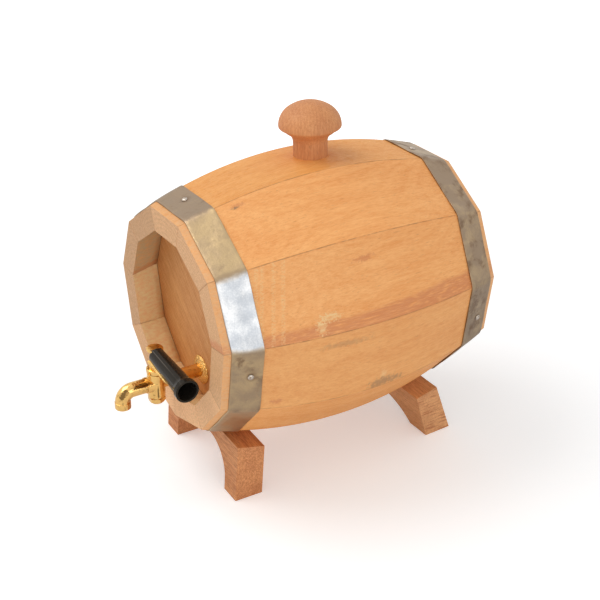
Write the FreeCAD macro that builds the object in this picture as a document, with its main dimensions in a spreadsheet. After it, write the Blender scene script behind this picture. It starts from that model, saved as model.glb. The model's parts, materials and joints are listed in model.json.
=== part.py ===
import FreeCAD, Part
import math
import os
import re
import Sketcher
from FreeCAD import Vector

# A small oak cask that lies on two arched wooden feet, with a mushroom bung on top and a brass
# plug tap in its front head.
#
# Millimetres.  +Z is up, the cask's axis runs along Y and the tap is at the -Y end.  The origin
# lies on the surface that the cask stands on, under the middle of its outline seen from above.
# Angles round the cask are in degrees, from straight up towards +X.

STAVE_COUNT = 11
NAILED_STAVES = (1, 4, 7, 10)
FOOT_STAVES = (5, 6, 7, 8)
LAPPED_STAVES = (8,)
SCREWED_STAVES = (6, 7)

SIZES = [
    # The cask
    ("cask_length", 240, "end to end of the staves"),
    ("end_radius", 88, "cask axis to a stave joint, at the ends"),
    ("middle_radius", 109, "cask axis to a stave joint, at the middle"),
    ("stave_thickness", 19.2, "measured along a joint"),
    ("axis_height", 142, "cask axis above the surface"),
    ("first_joint_angle", -19.6, "where stave 1 begins"),
    ("stave_angle_01", 31.3, "arc that stave 1 fills"),
    ("stave_angle_02", 34.1, "arc that stave 2 fills"),
    ("stave_angle_03", 34.7, "arc that stave 3 fills"),
    ("stave_angle_04", 33.9, "arc that stave 4 fills"),
    ("stave_angle_05", 32.6, "arc that stave 5 fills"),
    ("stave_angle_06", 31.9, "arc that stave 6 fills"),
    ("stave_angle_07", 30.1, "arc that stave 7 fills"),
    ("stave_angle_08", 30.0, "arc that stave 8 fills"),
    ("stave_angle_09", 34.9, "arc that stave 9 fills"),
    ("stave_angle_10", 31.6, "arc that stave 10 fills; stave 11 takes the rest"),
    # The heads and the croze, the groove that holds them
    ("head_recess", 25, "cask end to a head's outer face"),
    ("head_thickness", 12, "middle of a head"),
    ("tongue_thickness", 6, "rim of a head, and width of the croze"),
    ("tongue_length", 8, "flat part of the rim"),
    ("bevel_width", 6, "from the rim's thickness to the full one"),
    ("croze_depth", 3, "beyond the stave joints"),
    ("wood_fit", 0.05, "between wooden pieces that fit into each other"),
    # The hoops and their nails and rivets
    ("hoop_width", 23, "steel strip"),
    ("hoop_thickness", 1.1, "steel strip"),
    ("hoop_setback", 5.2, "cask end to the hoop's edge"),
    ("hoop_clearance", 0.25, "the flat strip spans the stave's curve"),
    ("hoop_lap", 26, "length of the doubled strip"),
    ("rivet_spacing", 13, "between the two rivets of a lap"),
    ("rivet_radius", 1.6, "shank"),
    ("rivet_head_radius", 3.0, "domed head"),
    ("rivet_head_height", 1.3, "domed head"),
    ("nail_radius", 0.9, "shank"),
    ("nail_clearance", 5.2, "wood between a nail's point and the head's groove"),
    ("nail_head_radius", 2.4, "domed head"),
    ("nail_head_height", 1.3, "domed head"),
    ("front_nail_01_across", -4, "from the flat's middle line"),
    ("front_nail_01_along", 2.8, "from the strip's middle, towards the rear"),
    ("front_nail_04_across", -4.2, "from the flat's middle line"),
    ("front_nail_04_along", 2.9, "from the strip's middle, towards the rear"),
    ("front_nail_07_across", 2, "from the flat's middle line"),
    ("front_nail_07_along", 1, "from the strip's middle, towards the rear"),
    ("front_nail_10_across", -1.5, "from the flat's middle line"),
    ("front_nail_10_along", 1.5, "from the strip's middle, towards the rear"),
    ("rear_nail_01_across", -1, "from the flat's middle line"),
    ("rear_nail_01_along", -2, "from the strip's middle, towards the rear"),
    ("rear_nail_04_across", 6.5, "from the flat's middle line"),
    ("rear_nail_04_along", 2.4, "from the strip's middle, towards the rear"),
    ("rear_nail_07_across", -2.5, "from the flat's middle line"),
    ("rear_nail_07_along", -1, "from the strip's middle, towards the rear"),
    ("rear_nail_10_across", 3, "from the flat's middle line"),
    ("rear_nail_10_along", -1.5, "from the strip's middle, towards the rear"),
    ("fastener_fit", 0.05, "round a nail, rivet or screw"),
    # The bung, in the frame of stave 1
    ("bung_offset", -4.5, "across the stave from its middle line"),
    ("bung_setback", 8.5, "from the cask's middle towards the rear"),
    ("bung_depth", 22, "below the stave's outer face"),
    ("bung_tip_radius", 12.3, "lower end"),
    ("bung_mouth_radius", 13.3, "where it enters the stave"),
    ("bung_neck_radius", 13.4, "under the cap"),
    ("bung_neck_height", 10.8, "straight stem above the stave"),
    ("bung_cove_arc", 9, "hollow between stem and cap"),
    ("bung_cove_radius", 18.6, "where the hollow ends"),
    ("bung_cove_height", 19, "where the hollow ends"),
    ("bung_rim_arc", 1.5, "rounded lower edge of the cap"),
    ("bung_cap_radius", 24.4, "widest part of the cap"),
    ("bung_rim_height", 24, "widest part of the cap"),
    ("bung_shoulder_arc", 16.5, "side of the cap"),
    ("bung_shoulder_radius", 17.4, "where the side meets the crown"),
    ("bung_shoulder_height", 37.5, "where the side meets the crown"),
    ("bung_height", 43, "top of the cap above the stave"),
    ("bung_fit", 0.08, "round the bung in its hole"),
    # The feet
    ("foot_thickness", 23.9, "plank"),
    ("front_foot_half_width", 60.8, "foot's middle to a leg's outer side"),
    ("front_leg_width", 18.8, "at the bottom"),
    ("front_bridge", 8.9, "wood over the crown of the arch"),
    ("front_arch_spring", 10, "upright sides of the arch"),
    ("front_arch_arc", 28, "rounded sides of the arch"),
    ("front_foot_setback", 21.8, "cask's end to the foot's outer bottom edge"),
    ("front_foot_lean", 3, "from upright"),
    ("front_seat_depth", 4, "how far the cask sinks into the foot"),
    ("rear_foot_half_width", 59.4, "foot's middle to a leg's outer side"),
    ("rear_leg_width", 19.3, "at the bottom"),
    ("rear_bridge", 20.6, "wood over the crown of the arch"),
    ("rear_arch_spring", 1.5, "upright sides of the arch"),
    ("rear_arch_arc", 40, "rounded sides of the arch"),
    ("rear_foot_setback", 14.6, "cask's end to the foot's outer bottom edge"),
    ("rear_foot_lean", 17, "from upright"),
    ("rear_foot_twist", 3.6, "from square to the cask, seen from above"),
    ("rear_foot_taper", 2.8, "how much thinner the plank is at its top"),
    ("rear_seat_depth", 1.9, "how far the cask sinks into the foot"),
    ("screw_spacing", 18, "between the two screws of a foot"),
    ("front_screw_length", 21, "with its head"),
    ("rear_screw_length", 32, "with its head"),
    ("screw_radius", 1.9, "shank"),
    ("screw_head_radius", 3.6, "countersunk head"),
    ("screw_head_height", 2.2, "countersunk head"),
    ("screw_slot_width", 0.9, "driver slot"),
    ("screw_slot_depth", 0.9, "driver slot"),
    # The tap; its frame is where the plug's axis crosses the flow axis
    ("tap_standoff", 14.5, "cask end to the plug's axis"),
    ("tap_rise", 26.3, "head's lower edge to the flow axis"),
    ("barrel_radius", 7, "upright barrel"),
    ("barrel_above", 10, "barrel above the flow axis"),
    ("barrel_below", 11.5, "barrel below the flow axis"),
    ("barrel_edge", 0.6, "broken edges"),
    ("shank_radius", 5.4, "from barrel to head"),
    ("spigot_radius", 4.8, "in the head's hole"),
    ("spigot_overhang", 6, "inside the cask"),
    ("flow_radius", 2.8, "passage through shank and plug"),
    ("boss_radius", 6.4, "where the spout leaves the barrel"),
    ("boss_length", 9.5, "from the plug's axis"),
    ("socket_radius", 4.9, "takes the spout's end"),
    ("socket_depth", 3, "takes the spout's end"),
    ("brass_fit", 0.03, "between brass pieces that are soldered or screwed together"),
    ("spout_radius", 5.9, "outside"),
    ("spout_bore", 3.9, "inside"),
    ("spout_reach", 28.7, "plug's axis to the outlet's axis"),
    ("elbow_radius", 8.2, "spout's bend"),
    ("outlet_drop", 13.5, "flow axis to the outlet's end"),
    ("outlet_radius", 6.3, "thicker end"),
    ("outlet_height", 5.3, "thicker end"),
    ("rosette_radius", 12, "plate on the head"),
    ("rosette_thickness", 3.2, "at its middle"),
    ("rosette_rim", 0.9, "thickness of its edge"),
    ("rosette_hub_radius", 7.2, "flat round the shank"),
    ("rosette_arc", 14, "domed face"),
    ("seal_radius", 9, "rubber ring"),
    ("seal_thickness", 1.4, "rubber ring"),
    ("plug_top_radius", 4.7, "taper's upper end"),
    ("plug_bottom_radius", 4.1, "taper's lower end"),
    ("plug_fit", 0.05, "running fit in the barrel"),
    ("turning_gap", 0.12, "between flat faces that turn on each other"),
    ("collar_radius", 7.4, "plug's collar on top of the barrel"),
    ("collar_height", 4, "plug's collar on top of the barrel"),
    ("square_side", 5, "keys the lever to the plug"),
    ("square_height", 4.5, "keys the lever to the plug"),
    ("pin_radius", 1.5, "plug's upper end, inside the lever"),
    ("pin_length", 9, "above the square"),
    ("stud_radius", 2.2, "threaded lower end of the plug"),
    ("washer_radius", 6, "under the barrel"),
    ("washer_thickness", 0.7, "under the barrel"),
    ("nut_across_flats", 12, "under the barrel"),
    ("nut_height", 5, "under the barrel"),
    ("nut_chamfer", 2.2, "under the barrel"),
    # The lever; its grip lies nearly along +X when the tap is shut
    ("lever_angle", -1.7, "from +X, seen from above"),
    ("lever_height", 26.5, "flow axis to the grip's axis"),
    ("hub_radius", 5.2, "lever's foot on the plug"),
    ("hub_height", 5.5, "lever's foot on the plug"),
    ("neck_radius", 3.3, "under the button"),
    ("button_radius", 6.6, "round top of the lever"),
    ("button_edge", 1.1, "height of its side"),
    ("button_dome", 0.7, "rise of its top"),
    ("button_flare", 1.6, "height of the flare below it"),
    ("button_arc", 3, "hollow of the flare below it"),
    ("lever_top", 32, "flow axis to the button's top"),
    ("tray_start", 2, "plug's axis to the near end of the trough under the grip"),
    ("tray_length", 34, "plug's axis to the trough's far end"),
    ("tray_root", 2.2, "thickness at the plug"),
    ("tray_tip", 0.9, "thickness at the free end"),
    ("tray_angle", 124, "arc of the trough round the grip"),
    ("grip_start", 2.4, "plug's axis to the grip's near end"),
    ("grip_round", 1.8, "rounding of the near end"),
    ("grip_root_radius", 6.5, "near end"),
    ("grip_taper_end", 53.2, "plug's axis to the flare"),
    ("grip_end_radius", 8.1, "before the flare"),
    ("flare_radius", 9.35, "free end"),
    ("flare_length", 4.2, "cylindrical part of the free end"),
    ("grip_end", 59.7, "plug's axis to the free end"),
    ("hollow_radius", 7.6, "mouth of the hollow"),
    ("hollow_root_radius", 5.0, "bottom of the hollow"),
    ("hollow_depth", 34, "from the free end"),
]

DOC = FreeCAD.newDocument("OakCask")


# ----------------------------------------------------------------------------------------------
# The sheet and the expressions that read it


def fill_sheet():
    """Write each driving size in a row of the sheet, with its name as the cell's alias."""
    sheet = DOC.addObject("Spreadsheet::Sheet", "Sizes")
    for row, (name, value, note) in enumerate(SIZES, start=1):
        cell = "A%d" % row
        sheet.set(cell, str(value))
        sheet.setAlias(cell, name)
        sheet.set("B%d" % row, note)
    DOC.recompute()
    return sheet


SHEET = fill_sheet()
ALIASES = {name for name, _value, _note in SIZES}


def bound(text):
    """Turn a formula of plain size names into an expression that reads the sheet."""
    return re.sub(
        r"[A-Za-z_]\w*",
        lambda word: "Sizes." + word.group() if word.group() in ALIASES else word.group(),
        str(text),
    )


def number(text):
    """Work out a formula with the sheet's present values."""
    value = SHEET.evalExpression(bound(text))
    return float(getattr(value, "Value", value))


def place(x, y, z, axis="0; 0; 1", angle="0"):
    """The formula of a placement: a shift, and a turn about an axis."""
    return "placement(vector(%s; %s; %s); rotation(vector(%s); %s))" % (x, y, z, axis, angle)


def chain(*placements):
    """One placement seen from another, outermost first."""
    return " * ".join(placements)


# ----------------------------------------------------------------------------------------------
# Documents objects: bodies, sketches and features


def new_body(label, where):
    body = DOC.addObject("PartDesign::Body", label)
    body.Label = label
    body.setExpression("Placement", bound(where))
    return body


def new_sketch(body, role, offset=None):
    """A sketch on one of the body's own origin planes, shifted by a placement formula."""
    sketch = body.newObject("Sketcher::SketchObject", body.Name + "_sketch")
    plane = [item for item in body.Origin.OriginFeatures if item.Role == role][0]
    sketch.AttachmentSupport = (plane, "")
    sketch.MapMode = "FlatFace"
    if offset:
        sketch.setExpression("AttachmentOffset", bound(offset))
    return sketch


def bind_point(sketch, geometry, position, x, y):
    """Hold a point of the sketch at the formulas x and y."""
    for direction, text in (("DistanceX", x), ("DistanceY", y)):
        index = sketch.addConstraint(
            Sketcher.Constraint(direction, -1, 1, geometry, position, number(text))
        )
        sketch.setExpression("Constraints[%d]" % index, bound(text))


def bind_radius(sketch, geometry, text):
    index = sketch.addConstraint(Sketcher.Constraint("Radius", geometry, abs(number(text))))
    sketch.setExpression("Constraints[%d]" % index, bound("abs(%s)" % text))


def arc_between(start, end, radius):
    """The short arc from start to end, anticlockwise where the radius is positive."""
    chord = end - start
    side = 1 if radius > 0 else -1
    left = Vector(-chord.y, chord.x, 0).normalize()
    rise = math.sqrt(radius**2 - (chord.Length / 2) ** 2)
    centre = (start + end) * 0.5 + left * (side * rise)
    first, last = (start, end) if side > 0 else (end, start)
    angles = [math.atan2(point.y - centre.y, point.x - centre.x) for point in (first, last)]
    circle = Part.Circle(centre, Vector(0, 0, 1), abs(radius))
    return Part.ArcOfCircle(circle, angles[0], angles[1])


def draw_run(sketch, corners, closed=True):
    """Draw lines and arcs through corners.

    A corner is (x, y), or (x, y, radius) where the edge that leaves it is an arc.
    """
    points = [Vector(number(corner[0]), number(corner[1]), 0) for corner in corners]
    edges = []
    for index in range(len(corners) if closed else len(corners) - 1):
        start = points[index]
        end = points[(index + 1) % len(corners)]
        if len(corners[index]) == 2:
            geometry = sketch.addGeometry(Part.LineSegment(start, end), False)
            edges.append((geometry, 1, 2))
            continue
        radius = number(corners[index][2])
        geometry = sketch.addGeometry(arc_between(start, end, radius), False)
        edges.append((geometry, 1, 2) if radius > 0 else (geometry, 2, 1))
        bind_radius(sketch, geometry, corners[index][2])
    for index, (geometry, start, _end) in enumerate(edges):
        bind_point(sketch, geometry, start, corners[index][0], corners[index][1])
        if index or closed:
            before, _start, before_end = edges[index - 1]
            sketch.addConstraint(
                Sketcher.Constraint("Coincident", before, before_end, geometry, start)
            )
    if not closed:
        bind_point(sketch, edges[-1][0], edges[-1][2], corners[-1][0], corners[-1][1])


def draw_circle(sketch, x, y, radius):
    centre = Vector(number(x), number(y), 0)
    geometry = sketch.addGeometry(Part.Circle(centre, Vector(0, 0, 1), number(radius)), False)
    bind_point(sketch, geometry, 3, x, y)
    bind_radius(sketch, geometry, radius)


def add_feature(body, kind, sketch):
    feature = body.newObject("PartDesign::" + kind, body.Name + "_" + kind.lower())
    feature.Profile = sketch
    sketch.Visibility = False
    return feature


def pad(body, sketch, length, symmetric=False):
    feature = add_feature(body, "Pad", sketch)
    feature.setExpression("Length", bound(length))
    if symmetric:
        feature.SideType = "Symmetric"


def pocket_through(body, sketch):
    """Cut the sketch right through the body, both ways."""
    feature = add_feature(body, "Pocket", sketch)
    feature.Type = "ThroughAll"
    feature.SideType = "Symmetric"


def pocket_up(body, sketch, depth):
    """Cut the sketch into the body along its own normal."""
    feature = add_feature(body, "Pocket", sketch)
    feature.setExpression("Length", bound(depth))
    feature.Reversed = True


def turn(body, sketch, axis, angle="360", cut=False):
    """Turn the sketch about its own H_Axis or V_Axis, as a solid or as a cut."""
    feature = add_feature(body, "Groove" if cut else "Revolution", sketch)
    feature.ReferenceAxis = (sketch, [axis])
    feature.setExpression("Angle", bound(angle))
    feature.Midplane = True


def turned_body(label, where, plane, axis, corners):
    """A body turned from one outline."""
    body = new_body(label, where)
    sketch = new_sketch(body, plane)
    draw_run(sketch, corners)
    turn(body, sketch, axis)
    return body


def groove(body, plane, axis, *outlines):
    """Cut grooves or bores that are turned from outlines."""
    sketch = new_sketch(body, plane)
    for corners in outlines:
        draw_run(sketch, corners)
    turn(body, sketch, axis, cut=True)


def primitive(kind, label, where, **sizes):
    """A Part primitive with its sizes and its placement bound to the sheet."""
    shape = DOC.addObject("Part::" + kind, label)
    shape.Label = label
    for name, text in sizes.items():
        shape.setExpression(name, bound(text))
    shape.setExpression("Placement", bound(where))
    return shape


def fuse(label, *shapes):
    fusion = DOC.addObject("Part::MultiFuse", label)
    fusion.Label = label
    fusion.Shapes = list(shapes)
    return fusion


def group(label, shapes):
    """Separate solids in one node."""
    compound = DOC.addObject("Part::Compound", label)
    compound.Label = label
    compound.Links = list(shapes)
    return compound


def cut(label, base, tools):
    """A piece with the shapes of its tools taken out."""
    result = DOC.addObject("Part::Cut", label)
    result.Label = label
    result.Base = base
    result.Tool = group(label + "_tools", tools)
    return result


def ring(near, far, inside, outside):
    """The outline of a ring about an axis: between two places along it and two radii."""
    return [(near, inside), (far, inside), (far, outside), (near, outside)]


# ----------------------------------------------------------------------------------------------
# Formulas that several pieces share

HALF = "(cask_length / 2)"
BULGE = "(middle_radius - end_radius)"
BULGE_ARC = "((%s ^ 2 + %s ^ 2) / (2 * %s))" % (HALF, BULGE, BULGE)
HEAD_FACE = "(%s - head_recess)" % HALF
FRONT_REACH = "(%s + tap_standoff + spout_reach + outlet_radius)" % HALF
CASK_MIDDLE = "((%s - %s) / 2)" % (FRONT_REACH, HALF)
CASK = place("0", CASK_MIDDLE, "axis_height")


def dome_arc(radius, height):
    """The arc of a dome that is round about the axis."""
    return "(((%s) ^ 2 + (%s) ^ 2) / (2 * (%s)))" % (radius, height, height)


def joint_radius(y):
    """From the cask's axis to a stave joint, at a distance y from the cask's middle."""
    return "(middle_radius - %s + sqrt(%s ^ 2 - (%s) ^ 2))" % (BULGE_ARC, BULGE_ARC, y)


HEAD_RADIUS = "(%s - stave_thickness + croze_depth)" % joint_radius(HEAD_FACE)
TAP_DROP = "(%s - tap_rise)" % HEAD_RADIUS
NAIL_LENGTH = "(stave_thickness - croze_depth - nail_clearance)"


def stave_angle(number_of_stave):
    if number_of_stave < STAVE_COUNT:
        return "stave_angle_%02d" % number_of_stave
    others = ["stave_angle_%02d" % other for other in range(1, STAVE_COUNT)]
    return "(360 - %s)" % " - ".join(others)


def joint_angle(number_of_stave):
    """Where a stave begins."""
    before = ["stave_angle_%02d" % other for other in range(1, number_of_stave)]
    return "(%s)" % " + ".join(["first_joint_angle"] + before)


def half_angle(number_of_stave):
    return "(%s / 2)" % stave_angle(number_of_stave)


def middle_angle(number_of_stave):
    return "(%s + %s)" % (joint_angle(number_of_stave), half_angle(number_of_stave))


def stave_frame(number_of_stave):
    """Y along the cask, Z out through the middle of the stave's flat."""
    return chain(CASK, place("0", "0", "0", "0; 1; 0", middle_angle(number_of_stave)))


# ----------------------------------------------------------------------------------------------
# The staves


def make_stave_blank(number_of_stave):
    """A stave: flat across, curved along, with radial joints and the croze at both ends."""
    half = half_angle(number_of_stave)
    outer_end = "end_radius * cos(%s)" % half
    inner_end = "(end_radius - stave_thickness) * cos(%s)" % half
    flat_bulge = "(%s * cos(%s))" % (BULGE, half)
    arc = "((%s ^ 2 + %s ^ 2) / (2 * %s))" % (HALF, flat_bulge, flat_bulge)
    body = new_body("stave_%02d_blank" % number_of_stave, stave_frame(number_of_stave))

    side = new_sketch(body, "YZ_Plane")
    draw_run(
        side,
        [
            ("-" + HALF, outer_end, "-" + arc),
            (HALF, outer_end),
            (HALF, inner_end, arc),
            ("-" + HALF, inner_end),
        ],
    )
    pad(body, side, "2 * middle_radius * tan(%s)" % half, symmetric=True)

    reach = "2 * middle_radius"
    joint_x = "%s * sin(%s)" % (reach, half)
    joint_z = "%s * cos(%s)" % (reach, half)
    beside = new_sketch(body, "XZ_Plane")
    draw_run(
        beside,
        [
            ("0", "0"),
            (joint_x, joint_z),
            (reach, "-" + reach),
            ("-" + reach, "-" + reach),
            ("-" + joint_x, joint_z),
        ],
    )
    pocket_through(body, beside)

    croze_radius = "%s + wood_fit" % HEAD_RADIUS
    crozes = [
        ring(sign + HEAD_FACE, "%s(%s - tongue_thickness)" % (sign, HEAD_FACE),
             "end_radius / 2", croze_radius)
        for sign in ("-", "")
    ]
    groove(body, "YZ_Plane", "H_Axis", *crozes)
    return body


# ----------------------------------------------------------------------------------------------
# The heads


def head_outline(sign):
    """From the axis out along the outer face, and back along the bevelled inner one."""
    face = sign + HEAD_FACE
    tongue = "%s(%s - tongue_thickness)" % (sign, HEAD_FACE)
    inner = "%s(%s - head_thickness)" % (sign, HEAD_FACE)
    tongue_root = "(%s - tongue_length)" % HEAD_RADIUS
    return [
        (face, "0"),
        (face, HEAD_RADIUS),
        (tongue, HEAD_RADIUS),
        (tongue, tongue_root),
        (inner, "%s - bevel_width" % tongue_root),
        (inner, "0"),
    ]


def make_heads():
    front = turned_body("front_head", CASK, "YZ_Plane", "H_Axis", head_outline("-"))
    tap_hole = new_sketch(front, "XZ_Plane")
    draw_circle(tap_hole, "0", "-" + TAP_DROP, "spigot_radius + wood_fit")
    pocket_through(front, tap_hole)
    rear = turned_body("rear_head", CASK, "YZ_Plane", "H_Axis", head_outline(""))
    return [front, rear]


# ----------------------------------------------------------------------------------------------
# The hoops, with the nails and rivets that hold them

HOOP_OUTER_EDGE = "(%s - hoop_setback)" % HALF
HOOP_INNER_EDGE = "(%s - hoop_setback - hoop_width)" % HALF
HOOP_MIDDLE = "(%s - hoop_setback - hoop_width / 2)" % HALF
STRIP_OUTER_EDGE = "(%s + hoop_clearance + hoop_thickness)" % joint_radius(HOOP_OUTER_EDGE)
STRIP_INNER_EDGE = "(%s + hoop_clearance + hoop_thickness)" % joint_radius(HOOP_INNER_EDGE)


def hoop_sketch(body, sign, edge, corners):
    """A sketch across the cask's axis, at one edge of a hoop."""
    y = "%s%s" % (sign, edge)
    sketch = new_sketch(body, "XZ_Plane", place("0", "0", "-(%s)" % y))
    draw_run(sketch, corners)
    return sketch


def loft(body, kind, sketches):
    feature = add_feature(body, kind, sketches[0])
    feature.Sections = sketches[1:]
    feature.Ruled = True


def fold_corners(radius):
    """The hoop's folds, one at each stave joint."""
    corners = []
    for stave in range(1, STAVE_COUNT + 1):
        angle = joint_angle(stave)
        corners.append(("%s * sin(%s)" % (radius, angle), "%s * cos(%s)" % (radius, angle)))
    return corners


def lap_corners(radius):
    """The outer layer of the lap, on the flat of the lapped stave."""
    middle = middle_angle(LAPPED_STAVES[0])
    flat = "(%s * cos(%s))" % (radius, half_angle(LAPPED_STAVES[0]))
    corners = []
    for across, lift in (("-1", "0"), ("1", "0"), ("1", "1"), ("-1", "1")):
        out = "(%s + %s * hoop_thickness)" % (flat, lift)
        along = "(%s * hoop_lap / 2)" % across
        corners.append(
            (
                "%s * sin(%s) + %s * cos(%s)" % (out, middle, along, middle),
                "%s * cos(%s) - %s * sin(%s)" % (out, middle, along, middle),
            )
        )
    return corners


def hoop_slope(number_of_stave):
    """Between the cask's axis and the strip, on one flat."""
    rise = "(%s - %s)" % (STRIP_INNER_EDGE, STRIP_OUTER_EDGE)
    return "atan(%s * cos(%s) / hoop_width)" % (rise, half_angle(number_of_stave))


def hoop_face(sign, number_of_stave, layers=1):
    """On the outside of a hoop, in the middle of one flat, with Z square to the strip."""
    half = half_angle(number_of_stave)
    slope = hoop_slope(number_of_stave)
    middle = "(%s + %s) / 2 * cos(%s)" % (STRIP_INNER_EDGE, STRIP_OUTER_EDGE, half)
    height = "%s + %d * hoop_thickness" % (middle, layers - 1)
    lean = slope if sign == "-" else "-" + slope
    return chain(
        stave_frame(number_of_stave),
        place("0", sign + HOOP_MIDDLE, height, "1; 0; 0", lean),
    )


def make_domed_pin(label, where, kind, length):
    """A nail or rivet: a shank under a domed head, and the hole for the shank."""
    below = chain(where, place("0", "0", "-(%s)" % length))
    shank = primitive("Cylinder", label + "_shank", below, Radius=kind + "_radius", Height=length)
    head = primitive(
        "Ellipsoid",
        label + "_head",
        where,
        Radius1=kind + "_head_height",
        Radius2=kind + "_head_radius",
        Radius3=kind + "_head_radius",
        Angle1="0",
    )
    hole = primitive(
        "Cylinder",
        label + "_hole",
        below,
        Radius=kind + "_radius + fastener_fit",
        Height=length,
    )
    return fuse(label, shank, head), hole


def make_hoop(end, sign):
    """A hoop, its nails and its rivets, and the nails' holes by the stave they enter."""
    name = end + "_hoop"
    body = new_body(name + "_strip", CASK)
    thickness = "hoop_thickness"
    edges = ((HOOP_OUTER_EDGE, STRIP_OUTER_EDGE), (HOOP_INNER_EDGE, STRIP_INNER_EDGE))
    outside = [hoop_sketch(body, sign, edge, fold_corners(radius)) for edge, radius in edges]
    loft(body, "AdditiveLoft", outside)
    lap = [hoop_sketch(body, sign, edge, lap_corners(radius)) for edge, radius in edges]
    loft(body, "AdditiveLoft", lap)
    inside = [
        hoop_sketch(body, sign, edge, fold_corners("(%s - %s)" % (radius, thickness)))
        for edge, radius in edges
    ]
    loft(body, "SubtractiveLoft", inside)

    nails = {}
    for stave in NAILED_STAVES:
        nail = "%s_nail_%02d" % (end, stave)
        where = chain(hoop_face(sign, stave), place(nail + "_across", nail + "_along", "0"))
        nails[stave] = make_domed_pin(nail, where, "nail", NAIL_LENGTH)
    rivets = []
    for count, side in enumerate(("-", ""), start=1):
        where = chain(
            hoop_face(sign, LAPPED_STAVES[0], layers=2),
            place("%srivet_spacing / 2" % side, "0", "0"),
        )
        label = "%s_rivet_%d" % (name, count)
        square = "cos(%s) * cos(%s)" % (half_angle(LAPPED_STAVES[0]), hoop_slope(LAPPED_STAVES[0]))
        grip = "(2 * hoop_thickness * %s)" % square
        rivets.append(make_domed_pin(label, where, "rivet", grip))

    holes = [hole for _pin, hole in list(nails.values()) + rivets]
    hoop = cut(name, body, holes)
    nail_group = group(name + "_nails", [nail for nail, _hole in nails.values()])
    rivet_group = group(name + "_rivets", [rivet for rivet, _hole in rivets])
    return [hoop, nail_group, rivet_group], {stave: nails[stave][1] for stave in nails}


# ----------------------------------------------------------------------------------------------
# The bung


def bung_frame():
    """On the outer face of stave 1, square to it."""
    half = half_angle(1)
    height = "%s * cos(%s)" % (joint_radius("bung_setback"), half)
    return chain(stave_frame(1), place("bung_offset", "bung_setback", height))


def make_bung():
    """The mushroom stopper, and the tapered hole that it fits."""
    bung = turned_body(
        "bung",
        bung_frame(),
        "XZ_Plane",
        "V_Axis",
        [
            ("0", "-bung_depth"),
            ("bung_tip_radius", "-bung_depth"),
            ("bung_mouth_radius", "0"),
            ("bung_neck_radius", "bung_neck_height", "-bung_cove_arc"),
            ("bung_cove_radius", "bung_cove_height"),
            (
                "bung_cap_radius - bung_rim_arc",
                "bung_rim_height - bung_rim_arc",
                "bung_rim_arc",
            ),
            ("bung_cap_radius", "bung_rim_height", "bung_shoulder_arc"),
            (
                "bung_shoulder_radius",
                "bung_shoulder_height",
                dome_arc("bung_shoulder_radius", "bung_height - bung_shoulder_height"),
            ),
            ("0", "bung_height"),
        ],
    )
    margin = "stave_thickness / 4"
    slope = "((bung_mouth_radius - bung_tip_radius) / bung_depth)"
    hole = primitive(
        "Cone",
        "bung_hole",
        chain(bung_frame(), place("0", "0", "-bung_depth - %s" % margin)),
        Radius1="bung_tip_radius + bung_fit - %s * %s" % (slope, margin),
        Radius2="bung_mouth_radius + bung_fit + %s * %s" % (slope, margin),
        Height="bung_depth + 2 * %s" % margin,
    )
    return bung, hole


# ----------------------------------------------------------------------------------------------
# The feet


def foot_reach(name):
    """From the cask's middle to the foot's outer bottom edge."""
    return "(%s - %s_foot_setback)" % (HALF, name)


def clear_height(name):
    """Under the cask, over the foot's outer bottom edge."""
    return "(axis_height - %s)" % joint_radius(foot_reach(name))


def arch_height(name):
    return "(%s - %s_bridge)" % (clear_height(name), name)


def foot_frame(name, side):
    """At the foot's outer bottom edge; Z up the plank, which leans towards the cask's middle."""
    lean = "%s_foot_lean" % name
    angle = "-" + lean if side == "-" else lean
    twist = "0" if side == "-" else "rear_foot_twist"
    y = "%s + %s%s" % (CASK_MIDDLE, side, foot_reach(name))
    return chain(
        place("0", y, "0", "0; 0; 1", twist),
        place("0", "0", "0", "1; 0; 0", angle),
    )


def arch_outline(name):
    """The opening between the legs: upright, then round to a short flat crown."""
    half = "(%s_foot_half_width - %s_leg_width)" % (name, name)
    height = arch_height(name)
    spring = "%s_arch_spring" % name
    arc = "%s_arch_arc" % name
    sideways = "sqrt(%s ^ 2 - (%s - %s + %s) ^ 2)" % (arc, arc, height, spring)
    crown = "(%s - %s)" % (half, sideways)
    return [
        ("-" + half, "-" + height),
        (half, "-" + height),
        (half, spring, arc),
        (crown, height),
        ("-" + crown, height, arc),
        ("-" + half, spring),
    ]


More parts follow.
